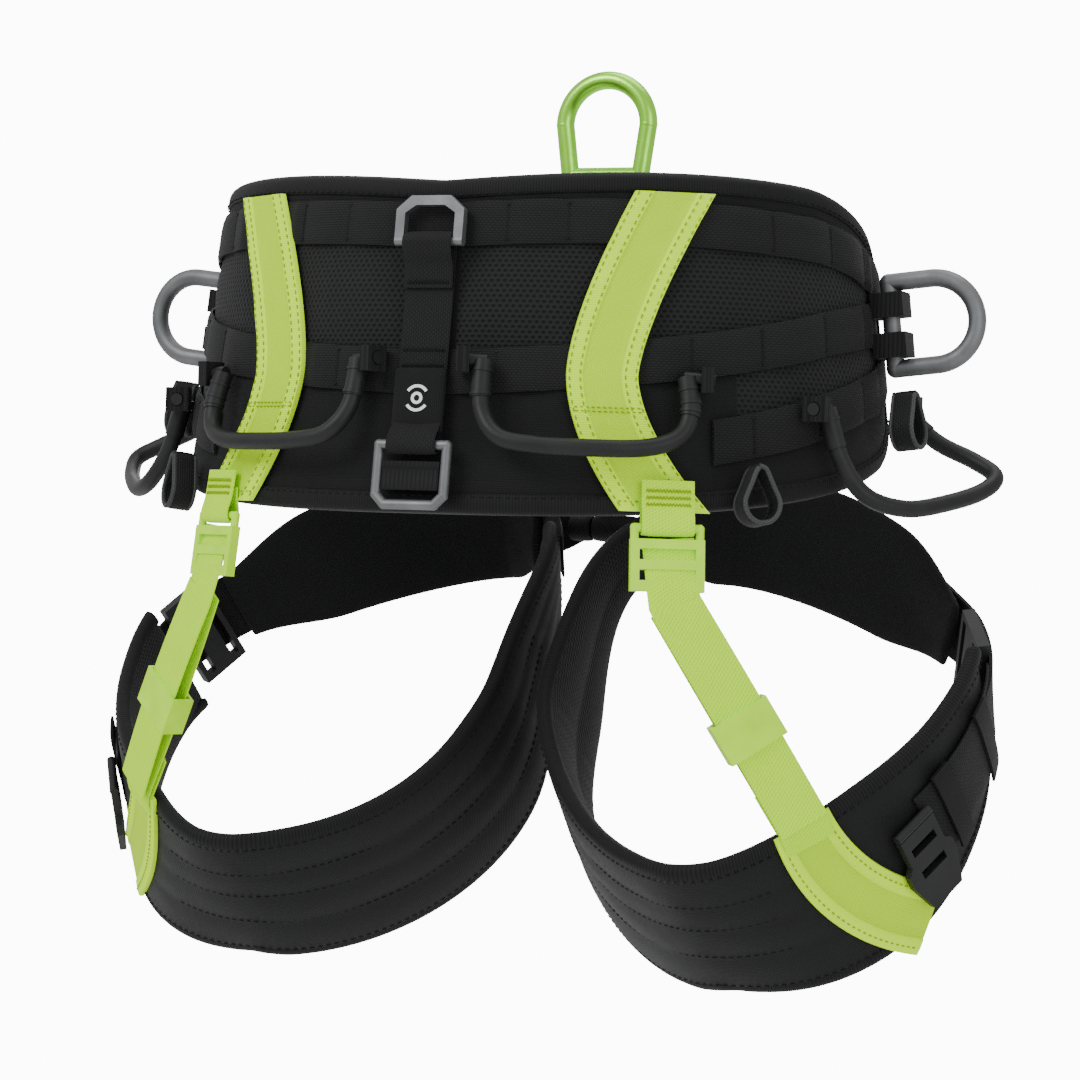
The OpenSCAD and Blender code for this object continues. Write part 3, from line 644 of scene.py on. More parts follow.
@dataclass(frozen=True)
class ThighForm:
    """One thigh loop's middle surface in millimetres: a is degrees round it, 0 behind the leg, 90 outside."""

    side: Side
    half_w: float = 115
    half_d: float = 100
    x: float = 130
    y: float = 22
    drop: float = 94
    slope: float = 46
    pull: float = 60
    pad: float = 94
    begin: float = -150
    end: float = 100
    out: float = 5.65

    def middle(self, a: float) -> np.ndarray:
        """The loop's line on the right thigh."""
        front, inner, along = max(0.0, -cosd(a)), max(0.0, -sind(a)), -self.half_d * cosd(a)
        return np.array([
            self.x + self.half_w * sind(a) - self.pull * front * front,
            self.y + along * (1 - 0.5 * inner),
            along * math.tan(math.radians(self.slope)) - self.drop,
        ])

    def axes(self, a: float) -> tuple[np.ndarray, np.ndarray, np.ndarray]:
        """Directions along the loop, away from the thigh and across the pad."""
        tilt = self.slope * (1 - 0.75 * ease(-cosd(a) * 1.1)) * (1 - 0.6 * ease(sind(a) * 1.2))
        along = unit(self.middle(a + 9) - self.middle(a - 9))
        away = unit(np.cross(along, np.array([0, -sind(tilt), cosd(tilt)])))
        return along, away, unit(np.cross(away, along))

    def flip(self, p: np.ndarray) -> np.ndarray:
        """The point or direction moved to this form's own side."""
        return p * self.side.flip

    def point(self, a: float, up: float, out: float) -> np.ndarray:
        """A point across the pad and away from the thigh, on this side."""
        _, away, across = self.axes(a)
        return self.flip(self.middle(a) + across * up + away * out)

    def width(self, a: float) -> float:
        """The pad's width."""
        wide = mix(34, self.pad, ease((a - self.begin) / 80))
        return wide - (18 * ease((a - 50) / 50) if a > 50 else 0)


BELT = BeltForm()
SIDEWAYS, UPWARD = np.array([1.0, 0, 0]), np.array([0, 0, 1.0])
UPPER, MIDDLE, LOWER = (0.86, -0.09), (0.42, 0.25), (0.16, 0.25)
ON_WEBBING, GAP, WEB = 4.6, 0.3, 2.0
LOCK_ANGLE, LOCK_Z = 38.0, 8.0
YOKE_WAIST = 84.2


# ---------------------------------------------------------------- stitches


@dataclass(frozen=True)
class Thread:
    """A sewing thread that lays one stitch along every loose edge it is given."""

    finish: Textile
    radius: float = 0.00042

    def tree(self) -> bpy.types.NodeTree:
        """Builds the node group once: each edge becomes a small rounded stitch."""
        found = bpy.data.node_groups.get("stitch_along_edges")
        if found:
            return found
        tree = bpy.data.node_groups.new("stitch_along_edges", "GeometryNodeTree")
        for label, way, kind in (
            ("Edges", "INPUT", "Geometry"),
            ("Thread radius", "INPUT", "Float"),
            ("Slack", "INPUT", "Float"),
            ("Seed", "INPUT", "Int"),
            ("Finish", "INPUT", "Material"),
            ("Stitches", "OUTPUT", "Geometry"),
        ):
            tree.interface.new_socket(label, in_out=way, socket_type="NodeSocket" + kind)
        add, link = tree.nodes.new, tree.links.new
        given, result = add("NodeGroupInput"), add("NodeGroupOutput")
        ends = add("GeometryNodeInputMeshEdgeVertices")
        run = add("ShaderNodeVectorMath")
        run.operation = "SUBTRACT"
        link(ends.outputs["Position 2"], run.inputs[0])
        link(ends.outputs["Position 1"], run.inputs[1])
        keep = add("GeometryNodeCaptureAttribute")
        keep.domain = "EDGE"
        keep.capture_items.new("VECTOR", "Run")
        link(given.outputs["Edges"], keep.inputs["Geometry"])
        link(run.outputs[0], keep.inputs["Run"])
        dots = add("GeometryNodeMeshToPoints")
        dots.mode = "EDGES"
        link(keep.outputs["Geometry"], dots.inputs["Mesh"])
        lay = add("FunctionNodeAlignRotationToVector")
        lay.axis = "Z"
        link(keep.outputs["Run"], lay.inputs["Vector"])
        size = add("ShaderNodeVectorMath")
        size.operation = "LENGTH"
        link(keep.outputs["Run"], size.inputs[0])
        vary = add("FunctionNodeRandomValue")
        vary.inputs[2].default_value = -1.0
        vary.inputs[3].default_value = 1.0
        link(given.outputs["Seed"], vary.inputs["Seed"])
        spread = add("ShaderNodeMath")
        spread.operation = "MULTIPLY_ADD"
        link(vary.outputs[1], spread.inputs[0])
        link(given.outputs["Slack"], spread.inputs[1])
        spread.inputs[2].default_value = 0.5
        half = add("ShaderNodeMath")
        half.operation = "MULTIPLY"
        link(size.outputs["Value"], half.inputs[0])
        link(spread.outputs[0], half.inputs[1])
        scale = add("ShaderNodeCombineXYZ")
        link(given.outputs["Thread radius"], scale.inputs[0])
        link(given.outputs["Thread radius"], scale.inputs[1])
        link(half.outputs[0], scale.inputs[2])
        bead = add("GeometryNodeMeshUVSphere")
        bead.inputs["Segments"].default_value = 6
        bead.inputs["Rings"].default_value = 4
        sow = add("GeometryNodeInstanceOnPoints")
        link(dots.outputs["Points"], sow.inputs["Points"])
        link(bead.outputs["Mesh"], sow.inputs["Instance"])
        link(lay.outputs["Rotation"], sow.inputs["Rotation"])
        link(scale.outputs[0], sow.inputs["Scale"])
        real = add("GeometryNodeRealizeInstances")
        paint = add("GeometryNodeSetMaterial")
        link(sow.outputs[0], real.inputs[0])
        link(real.outputs[0], paint.inputs["Geometry"])
        link(given.outputs["Finish"], paint.inputs["Material"])
        link(paint.outputs[0], result.inputs[0])
        return tree

    def sew(
        self, name: str, stitches: Sequence[tuple[np.ndarray, np.ndarray]], body: str | Bend
    ) -> bpy.types.Object:
        """Lays the stitches and puts them on a body.

        Args:
            name: the piece's name.
            stitches: two ends of each stitch, in millimetres.
            body: the CAD body they move with, or the two they run between, in which case they are put on
                neither.

        Returns:
            The stitches as one mesh.
        """
        ends = np.array(stitches, float).reshape(-1, 3) * MM
        guide = bpy.data.meshes.new(name + "_guide")
        guide.from_pydata(ends.tolist(), [(2 * i, 2 * i + 1) for i in range(len(ends) // 2)], [])
        holder = bpy.data.objects.new(name, guide)
        bpy.context.scene.collection.objects.link(holder)
        modifier = holder.modifiers.new("stitches", "NODES")
        modifier.node_group = self.tree()
        sockets = {s.name: s.identifier for s in self.tree().interface.items_tree if s.in_out == "INPUT"}
        modifier[sockets["Thread radius"]] = self.radius
        modifier[sockets["Slack"]] = 0.03
        modifier[sockets["Seed"]] = 7
        modifier[sockets["Finish"]] = self.finish.material()
        graph = bpy.context.evaluated_depsgraph_get()
        mesh = bpy.data.meshes.new_from_object(holder.evaluated_get(graph), depsgraph=graph)
        holder.modifiers.remove(modifier)
        holder.data = mesh
        bpy.data.meshes.remove(guide)
        mesh.polygons.foreach_set("use_smooth", [True] * len(mesh.polygons))
        return settle(holder, body)


def seam(line: np.ndarray, length: float = 3.0, space: float = 1.3) -> list[tuple[np.ndarray, np.ndarray]]:
    """Running stitches along a line.

    Args:
        line: its points in millimetres.
        length: length of a stitch.
        space: space between stitches.

    Returns:
        The two ends of each stitch.
    """
    steps = np.linalg.norm(np.diff(line, axis=0), axis=1)
    reach = np.concatenate([[0], np.cumsum(steps)])
    count = int((reach[-1] - length) / (length + space)) + 1
    starts = np.arange(max(count, 0)) * (length + space)

    def at(s: float) -> np.ndarray:
        """The point at a length along the line."""
        return np.array([np.interp(s, reach, line[:, k]) for k in range(3)])

    return [(at(s), at(s + length)) for s in starts]


def bar_tack(
    a: np.ndarray, b: np.ndarray, across: np.ndarray, wide: float = 2.6
) -> list[tuple[np.ndarray, np.ndarray]]:
    """A dense zigzag of stitches from a to b.

    Args:
        a: one end.
        b: the other end.
        across: unit direction of its width.
        wide: its width.

    Returns:
        The two ends of each stitch.
    """
    count = max(3, int(np.linalg.norm(b - a) / 0.8))
    dots = [a + (b - a) * i / count + across * wide * (0.5 if i % 2 else -0.5) for i in range(count + 1)]
    return list(zip(dots[:-1], dots[1:]))


# ---------------------------------------------------------------- padding

# The cloth that pads are filled with: light and slack, so that it rounds out within the frames.
CLOTH = {
    "quality": 4,
    "mass": 0.005,
    "tension_stiffness": 5,
    "compression_stiffness": 2,
    "shear_stiffness": 2,
    "bending_stiffness": 0.1,
    "use_pressure": True,
    "uniform_pressure_force": 260.0,
}
FILL_FRAMES = 20
# The furthest that filling may move a point of the belt or of a thigh pad, in millimetres.
BELT_FILL, THIGH_FILL = 3.4, 3.0


def swell(made: bpy.types.Object, held: Sequence[int], cap: float) -> None:
    """Fills a closed pad by simulation, with its sewn points held, and limits how far it moves.

    Args:
        made: the pad, which keeps its faces.
        held: vertices that are sewn down.
        cap: the furthest a point may move, in millimetres.
    """
    mesh = made.data
    rest = np.array([v.co for v in mesh.vertices], float)
    group = made.vertex_groups.new(name="sewn")
    group.add([int(i) for i in held], 1.0, "REPLACE")
    cloth = made.modifiers.new("fill", "CLOTH")
    settings = cloth.settings
    for key, value in CLOTH.items():
        setattr(settings, key, value)
    settings.vertex_group_mass = "sewn"
    settings.effector_weights.gravity = 0
    cloth.collision_settings.use_collision = False
    cloth.point_cache.frame_start, cloth.point_cache.frame_end = 1, FILL_FRAMES
    for step in range(1, FILL_FRAMES + 1):
        bpy.context.scene.frame_set(step)
    graph = bpy.context.evaluated_depsgraph_get()
    filled = made.evaluated_get(graph).to_mesh()
    moved = np.array([v.co for v in filled.vertices], float)
    made.evaluated_get(graph).to_mesh_clear()
    made.modifiers.remove(cloth)
    bpy.context.scene.frame_set(1)
    shift = moved - rest
    far = np.linalg.norm(shift, axis=1, keepdims=True)
    shift *= np.minimum(1.0, cap * MM / np.maximum(far, 1e-9))
    mesh.vertices.foreach_set("co", (rest + shift).astype(np.float32).ravel())
    made.vertex_groups.clear()
    mesh.update()
    LOG.info("%s filled: %.1f mm at most", made.name, float(np.linalg.norm(shift, axis=1).max()) / MM)


def soften(made: bpy.types.Object, levels: int = 1) -> bpy.types.Object:
    """Adds a subdivision surface with the same levels everywhere and returns the piece."""
    made.data.edges.foreach_set("use_edge_sharp", [False] * len(made.data.edges))
    smooth = made.modifiers.new("soft", "SUBSURF")
    smooth.levels = smooth.render_levels = levels
    return made


def yoke_angle(z: float) -> float:
    """Angle of the yoke's middle line at a height."""
    if z > YOKE_WAIST:
        return 28 + 13 * ((z - YOKE_WAIST) / (184 - YOKE_WAIST)) ** 1.5
    return 28 + 11 * ((YOKE_WAIST - z) / (YOKE_WAIST - 12)) ** 1.7


def bare(t: float, z: float) -> float:
    """How far a point of the belt is from the yokes and the spine strap, from 0 under them to 1."""
    k = BELT.per_degree(t, z)
    from_yoke = abs(abs(t) - yoke_angle(z)) * k - 19
    from_spine = abs(t) * k - 16
    return ease(min(from_yoke, from_spine) / 7)


@dataclass
class PaddedBelt:
    """The wide belt: a filled pad in sewn channels, its bindings and its runs of webbing."""

    form: BeltForm = field(default_factory=BeltForm)
    columns: int = 151
    webbing: float = 23
    bay: float = 30

    def seams(self, t: float) -> list[float]:
        """Heights of the sewn lines at an angle, from the lower edge to the upper one."""
        low, high = self.form.bottom(t), self.form.top(t)
        lines = [low + 2, low + 10]
        for run in (LOWER, MIDDLE, UPPER):
            z = self.form.share(t, run)
            lines += [z - self.webbing / 2, z + self.webbing / 2]
        lines += [high - 10, high - 2]
        for k in range(1, len(lines)):
            lines[k] = max(lines[k], lines[k - 1] + 1.2)
        for k in range(len(lines) - 2, -1, -1):
            lines[k] = min(lines[k], lines[k + 1] - 1.2)
        return lines

    def pad(self) -> bpy.types.Object:
        """Builds and fills the pad, with open spacer mesh between the runs of webbing.

        Returns:
            The pad.
        """
        splits = [2, 3, 4, 5, 4, 6, 4, 3, 2]
        angles = np.linspace(-self.form.wrap, self.form.wrap, self.columns)
        outer, inner, run, held, spacer = [], [], [], [], set()
        reach = 0.0
        for i, t in enumerate(angles):
            lines = self.seams(t)
            reach += self.form.per_degree(t, 100) * (angles[1] - angles[0])
            heights, sewn = [], []
            for k, n in enumerate(splits):
                for j in range(n):
                    heights.append(mix(lines[k], lines[k + 1], j / n))
                    sewn.append(j == 0 or k in (0, 2, 4, 6, 8))
            heights.append(lines[-1])
            sewn.append(True)
            edge = min(1.0, (self.form.wrap - abs(t)) / 3)
            outer.append([self.form.point(t, z, -2.5 * (1 - edge)) for z in heights])
            inner.append([self.form.point(t, z, -self.form.thickness + 2.5 * (1 - edge)) for z in heights])
            run.append([(reach, z) for z in heights])
            end = i in (0, self.columns - 1)
            cols = len(heights)
            for j, z in enumerate(heights):
                if end or sewn[j] or bare(t, z) < 0.5:
                    held.append(i * cols + j)
                if end or j in (0, 4, 12, 20, 28, cols - 1):
                    held.append(self.columns * cols + i * cols + j)
            for j in range(cols - 1):
                if (9 <= j < 14 and abs(t) > 50) or (18 <= j < 24 and abs(t) > 4):
                    if abs(t) < self.form.wrap - 18:
                        spacer.add((i, j))
        cols = len(outer[0])
        piece = Piece("belt_pad").sheet(np.array(outer), np.array(inner), np.array(run))
        for i in range(self.columns - 1):
            for j in range(cols - 1):
                index = 2 * (i * (cols - 1) + j)
                piece.kinds[index] = 1 if (i, j) in spacer else 0
                piece.kinds[index + 1] = 2
        made = piece.build([SHELL, SPACER, LINER])
        swell(made, held, BELT_FILL)
        soften(made)
        settle(made, "belt", ["belt_shell", "belt_foam", "belt_liner", "mesh_panels"])
        return made

    def binding(self, name: str, edge: Callable[[float], float], up: int) -> bpy.types.Object:
        """Folds a smooth binding over one edge of the belt.

        Args:
            name: the node it replaces, which names the piece.
            edge: height of the edge at an angle.
            up: 1 at the upper edge and -1 at the lower one.

        Returns:
            The binding.
        """
        skin = [(0.6, 10.7), (1.5, 9.6), (1.7, 6), (1.3, 2.8), (-0.4, 0.8), (-3.2, -0.2), (-6.8, -0.5),
                (-10.4, -0.2), (-13.2, 0.8), (-14.8, 2.8), (-15.0, 6), (-14.2, 10.7)]
        back = [(-0.1, 10.4), (0.1, 9.2), (0.3, 6), (0.1, 3.6), (-1.2, 2.2), (-3.6, 1.2), (-6.8, 0.9),
                (-10, 1.2), (-12.4, 2.2), (-13.6, 3.6), (-13.8, 6), (-13.6, 10.4)]
        angles = np.linspace(-self.form.wrap - 0.4, self.form.wrap + 0.4, 131)

        def grid(profile: Sequence[tuple[float, float]]) -> Grid:
            """One face of the binding, slightly wavy."""
            return np.array([
                [
                    self.form.point(t, edge(t) - up * inset, out + 0.12 * wobble(t * 0.8, inset))
                    for out, inset in profile
                ]
                for t in angles
            ])

        run = np.array([[(t * 3.3, k * 2.6) for k in range(len(skin))] for t in angles])
        made = Piece(name + "_fold").sheet(grid(skin), grid(back), run).build([EDGE], 60)
        soften(made)
        settle(made, "belt", [name])
        line = np.array([self.form.point(t, edge(t) - up * 9.0, 1.75) for t in np.linspace(-111, 111, 260)])
        Thread(BLACK_THREAD).sew(name + "_seam", seam(line, 3.2, 1.4), "belt")
        return made

    def webbing_run(
        self, name: str, share: tuple[float, float], begin: float, end: float, both: bool
    ) -> None:
        """Lays one run of webbing with raised bays between bar-tacks.

        Args:
            name: the node it replaces.
            share: where the run lies.
            begin: smallest angle from the spine.
            end: largest angle from the spine.
            both: whether it is two pieces, one on each side.
        """
        piece = Piece(name + "_bays")
        tacks = []
        for side in (-1, 1) if both else (0,):
            span = (begin, end) if side == 1 else (-end, -begin) if side == -1 else (-end, end)
            angles = np.linspace(*span, int((span[1] - span[0]) * 1.1))
            profile = round_profile(7, 0.5)
            outer, inner, run = [], [], []
            for t in angles:
                z = self.form.share(t, share)
                reach = self.form.per_degree(t, z) * t
                lift = 1.7 * bare(t, z) * abs(math.sin(math.pi * (reach - 8) / self.bay)) ** 0.7
                lift *= ease((end - abs(t)) / 5)
                heights = np.linspace(z - self.webbing / 2, z + self.webbing / 2, 7)
                outer.append([self.form.point(t, h, GAP + WEB * p + lift) for h, p in zip(heights, profile)])
                inner.append([self.form.point(t, h, GAP + lift * 0.8) for h in heights])
                run.append([(reach, h) for h in heights])
            piece.sheet(np.array(outer), np.array(inner), np.array(run))
            for n in range(-12, 13):
                reach = n * self.bay + 8
                t = reach / self.form.per_degree(30, 100)
                for _ in range(4):
                    t = reach / self.form.per_degree(t, self.form.share(t, share))
                z = self.form.share(t, share)
                if span[0] + 2 < t < span[1] - 2 and bare(t, z) > 0.9:
                    low, high = (
                        self.form.point(t, z + s * (self.webbing / 2 - 2), GAP + WEB + 0.25) for s in (-1, 1)
                    )
                    tacks += bar_tack(low, high, self.form.along(t, z))
        made = piece.build([BLACK_WEBBING], 50)
        settle(made, "belt", [name])
        Thread(BLACK_THREAD, 0.00034).sew(name + "_tacks", tacks, "belt")

    def ends(self) -> None:
        """Binds the two short ends of the belt."""
        piece = Piece("belt_end_binding")
        for side in (-1, 1):
            t = side * (self.form.wrap + 0.2)
            heights = np.linspace(self.form.bottom(t) + 1, self.form.top(t) - 1, 24)
            swing = side / self.form.per_degree(t, 100)
            profile = [(1.5, -10), (1.7, -5), (1.0, -0.5), (-2.5, 1.6),
                       (-6.8, 2.2), (-11.2, 1.6), (-14.4, -0.5), (-15, -9)]
            inset = [(0.2, -10), (0.3, -5), (-0.4, -1.6), (-3, 0.2),
                     (-6.8, 0.8), (-10.6, 0.2), (-13, -1.6), (-13.6, -9)]
            outer, inner = (
                np.array([[self.form.point(t + swing * d, z, out) for out, d in shape] for z in heights])
                for shape in (profile, inset)
            )
            run = np.array([[(z, k * 3.0) for k in range(len(profile))] for z in heights])
            piece.sheet(outer, inner, run)
        settle(soften(piece.build([EDGE], 60)), "belt")

    def build(self) -> None:
        """Builds the whole belt."""
        self.pad()
        self.binding("binding_top", self.form.top, 1)
        self.binding("binding_bottom", self.form.bottom, -1)
        self.ends()
        self.webbing_run("webbing_upper", UPPER, 0, self.form.wrap - 2, False)
        self.webbing_run("webbing_middle", MIDDLE, 0, self.form.wrap - 16, False)
        self.webbing_run("webbing_lower", LOWER, 46, self.form.wrap - 2, True)


def strap_sheet(
    line: np.ndarray, across: np.ndarray, wide: float, thick: float, columns: int = 7
) -> tuple[Grid, Grid, Grid]:
    """Makes a flat strap with rounded edges along a line.

    Args:
        line: its middle points in millimetres.
        across: unit width direction, one for the whole line or one for each point.
        wide: its width.
        thick: its thickness.
        columns: points across it.

    Returns:
        Outer grid, inner grid and the run along and across.
    """
    heading = unit(np.gradient(line, axis=0))
    across = unit(across - heading * np.sum(across * heading, axis=1, keepdims=True))
    face = np.cross(heading, across)
    steps = np.concatenate([[0], np.cumsum(np.linalg.norm(np.diff(line, axis=0), axis=1))])
    places = np.linspace(-wide / 2, wide / 2, columns)
    profile = round_profile(columns, 0.55) * thick / 2
    outer = line[:, None] + across[:, None] * places[None, :, None] + face[:, None] * profile[None, :, None]
    inner = line[:, None] + across[:, None] * places[None, :, None] - face[:, None] * profile[None, :, None]
    run = np.stack(np.broadcast_arrays(steps[:, None], places[None, :]), axis=-1)
    return outer, inner, run


@dataclass
class Spine:
    """The strap down the spine, folded round two hinge bars, with a tag pocket between them."""

    width: float = 27
    upper_bar: float = 151.32
    lower_bar: float = 46.52
    bar_out: float = 8.6

    def face(self, z: float, out: float) -> np.ndarray:
        """A point on the spine line."""
        return BELT.point(0, z, out)

    def strap(self) -> None:
        """Folds the strap round both bars and sews it down."""
        turn = [(math.cos(a) * 4.1, math.sin(a) * 4.1) for a in np.radians(np.linspace(180, -20, 9))]
        path = [(z, 4.0) for z in np.linspace(self.lower_bar + 16, self.upper_bar - 16, 14)]
        path += [(self.upper_bar - 9, 4.1), (self.upper_bar - 4, 4.3)]
        path += [(self.upper_bar + dz, self.bar_out + dy) for dy, dz in turn]
        path += [(self.upper_bar - 7, 10.6), (self.upper_bar - 12, 7.6)]
        path += [(self.upper_bar - 19, 6.2), (self.upper_bar - 24, 6.1)]
        fold = [(self.lower_bar + 16, 6.1), (self.lower_bar + 10, 7.4), (self.lower_bar + 5, 11.4)]
        fold += [(self.lower_bar - dz, self.bar_out - dy) for dy, dz in turn]
        fold += [(self.lower_bar + 4, 4.5), (self.lower_bar + 12, 4.2)]
        piece = Piece("spine_webbing")
        for route in (path, fold):
            line = spline([self.face(z, out) for z, out in route], 3)
            piece.sheet(*strap_sheet(line, SIDEWAYS, self.width, 1.7))
        settle(piece.build([BLACK_WEBBING], 50), "belt", ["spine_strap"])
        stitches = []
        for z in (self.upper_bar - 21, self.upper_bar - 13.5, self.lower_bar + 41, self.lower_bar + 49):
            out = 7.4 if z > 100 else 5.2
            ends = [self.face(z, out) + np.array([s * 11.5, 0, 0]) for s in (-1, 1)]
            stitches += bar_tack(ends[0], ends[1], UPWARD, 2.2)
        Thread(BLACK_THREAD, 0.00034).sew("spine_tacks", stitches, "belt")

    def pocket(self) -> None:
        """A stitched pocket with a soft front and a plain white ring printed on it."""
        low, high, wide = 52.6, 86.0, 29.0
        heights, across = np.linspace(low, high, 14), np.linspace(-1, 1, 15)

        def bulge(z: float) -> float:
            """Share of the crown at a height, falling to nothing at both ends."""
            return 1 - (2 * (z - low) / (high - low) - 1) ** 4

        def grid(depth: float, crown: float) -> Grid:
            """One face of the pocket's cover."""
            return np.array([
                [
                    self.face(z, 4.9 + depth + crown * (1 - s * s) ** 0.5 * bulge(z))
                    + np.array([s * wide / 2, 0, 0])
                    for s in across
                ]
                for z in heights
            ])

        run = np.array([[(z, s * wide / 2) for s in across] for z in heights])
        piece = Piece("tag_cover").sheet(grid(1.9, 1.9), grid(0.4, 0.4), run)
        settle(soften(piece.build([SHELL], 60)), "belt", ["tag_pocket", "scan_tag"])
        corners = ((high - 2, -12.6), (low + 2, -12.6), (low + 2, 12.6), (high - 2, 12.6))
        rim = [self.face(z, 7.0) + np.array([s, 0, 0]) for z, s in corners]
        stitches = [s for a, b in zip(rim[:-1], rim[1:]) for s in seam(np.array([a, b]), 2.2, 1.0)]
        Thread(BLACK_THREAD).sew("tag_cover_seam", stitches, "belt")
        mark, middle = Piece("tag_ring_mark"), 70.5
        for radius, begin, end in ((6.2, 35, 145), (6.2, 215, 325), (2.4, 0, 360)):
            turns = np.radians(np.linspace(begin, end, 30))
            rows = [
                [(radius + w) * np.array([math.cos(a), 0, math.sin(a)]) for w in (-0.75, 0.75)] for a in turns
            ]
            lift = [
                np.array([
                    [p + self.face(middle + p[2], out) * [0, 1, 0] + [0, 0, middle] for p in row]
                    for row in rows
                ])
                for out in (9.17, 8.55)
            ]
            run = np.array([[(a, w) for w in (0, 1.5)] for a in turns])
            mark.sheet(lift[0], lift[1], run)
        settle(mark.build([MARK_WHITE]), "belt")


@dataclass
class Yoke:
    """One green yoke: a tape with a darker centre between two folded edges, down to its ladder lock."""

    side: Side
    width: float = 36
    fold: float = 8.5

    def row(self, z: float, places: Sequence[float], outs: Sequence[float]) -> list[np.ndarray]:
        """Points across the tape at one height."""
        t = yoke_angle(z)
        k = BELT.per_degree(t, z)
        slope = (yoke_angle(z + 1) - yoke_angle(z - 1)) / 2 * k
        stretch = math.sqrt(1 + slope * slope)
        points = [BELT.point(t + s * stretch / k, z, out) for s, out in zip(places, outs)]
        return [p * self.side.flip for p in points]

    def build(self) -> None:
        """Builds the tape, its folded edges and their seams."""
        half, fold = self.width / 2, self.fold
        places = [-half, -half + 0.5, -half + 4, -half + fold - 0.5, -half + fold, -6, 0, 6, half - fold,
                  half - fold + 0.5, half - 4, half - 0.5, half]
        outer = [3.4, 5.0, 5.2, 5.0, 4.2, 4.15, 4.15, 4.15, 4.2, 5.0, 5.2, 5.0, 3.4]
        inner = [2.6] * len(places)
        heights = np.linspace(16, BELT.top(41) - 10.5, 66)
        skin = np.array([
            self.row(z, places, [o + 0.25 * wobble(z / 9, s / 7, 3) for s, o in zip(places, outer)])
            for z in heights
        ])
        back = np.array([self.row(z, places, inner) for z in heights])
        run = np.array([[(z, s) for s in places] for z in heights])
        name = f"yoke_{self.side.word}"
        piece = Piece(name + "_tape").sheet(skin, back, run)
        columns = len(places) - 1
        for i in range(len(heights) - 1):
            for j in range(columns):
                if 3 < j < 8:
                    piece.kinds[2 * (i * columns + j)] = 1
        settle(piece.build([GREEN_EDGE, GREEN_CORE], 55), "belt", [name])
        stitches = []
        for s in (-half + fold - 1.6, half - fold + 1.6, -half + 1.6, half - 1.6):
            stitches += seam(np.array([self.row(z, [s], [5.35])[0] for z in heights[1:]]), 2.6, 1.5)
        for z in (heights[2], 66.0, 68.0):
            ends = self.row(z, [-half + 2, half - 2], [5.3, 5.3])
            stitches += seam(np.linspace(ends[0], ends[1], 8), 2.0, 0.9)
        Thread(GREEN_THREAD).sew(name + "_seams", stitches, "belt")
        self.tab()

    def tab(self) -> None:
        """Folds the short tab round the lock's top bar."""
        origin, x, inward, up = BELT.frame(LOCK_ANGLE, LOCK_Z, ON_WEBBING + 1.5)
        turn = [(-math.cos(a) * 3.5, -math.sin(a) * 3.5) for a in np.radians(np.linspace(0, 180, 9))]
        path = [(-1.5, 24), (-1.7, 16), (-2.2, 9), (-3.4, 3)] + turn + [(3.0, 4), (1.4, 9), (0.7, 15)]
        line = spline([origin + inward * y + up * z for y, z in path], 3)
        flip = self.side.flip
        name = f"riser_tab_{self.side.word}"
        piece = Piece(name).sheet(*strap_sheet(line * flip, x * flip, 27, 1.7))
        settle(piece.build([GREEN_WEBBING], 50), "belt", ["riser_tabs"])
        stitches = []
        for z in (11.5, 15.0, 18.5):
            a, b = (origin + x * s * 11.5 - inward * 2.95 + up * z for s in (-1, 1))
            stitches += bar_tack(a * flip, b * flip, up, 2.0)
        Thread(GREEN_THREAD, 0.00034).sew(name + "_tacks", stitches, "belt")


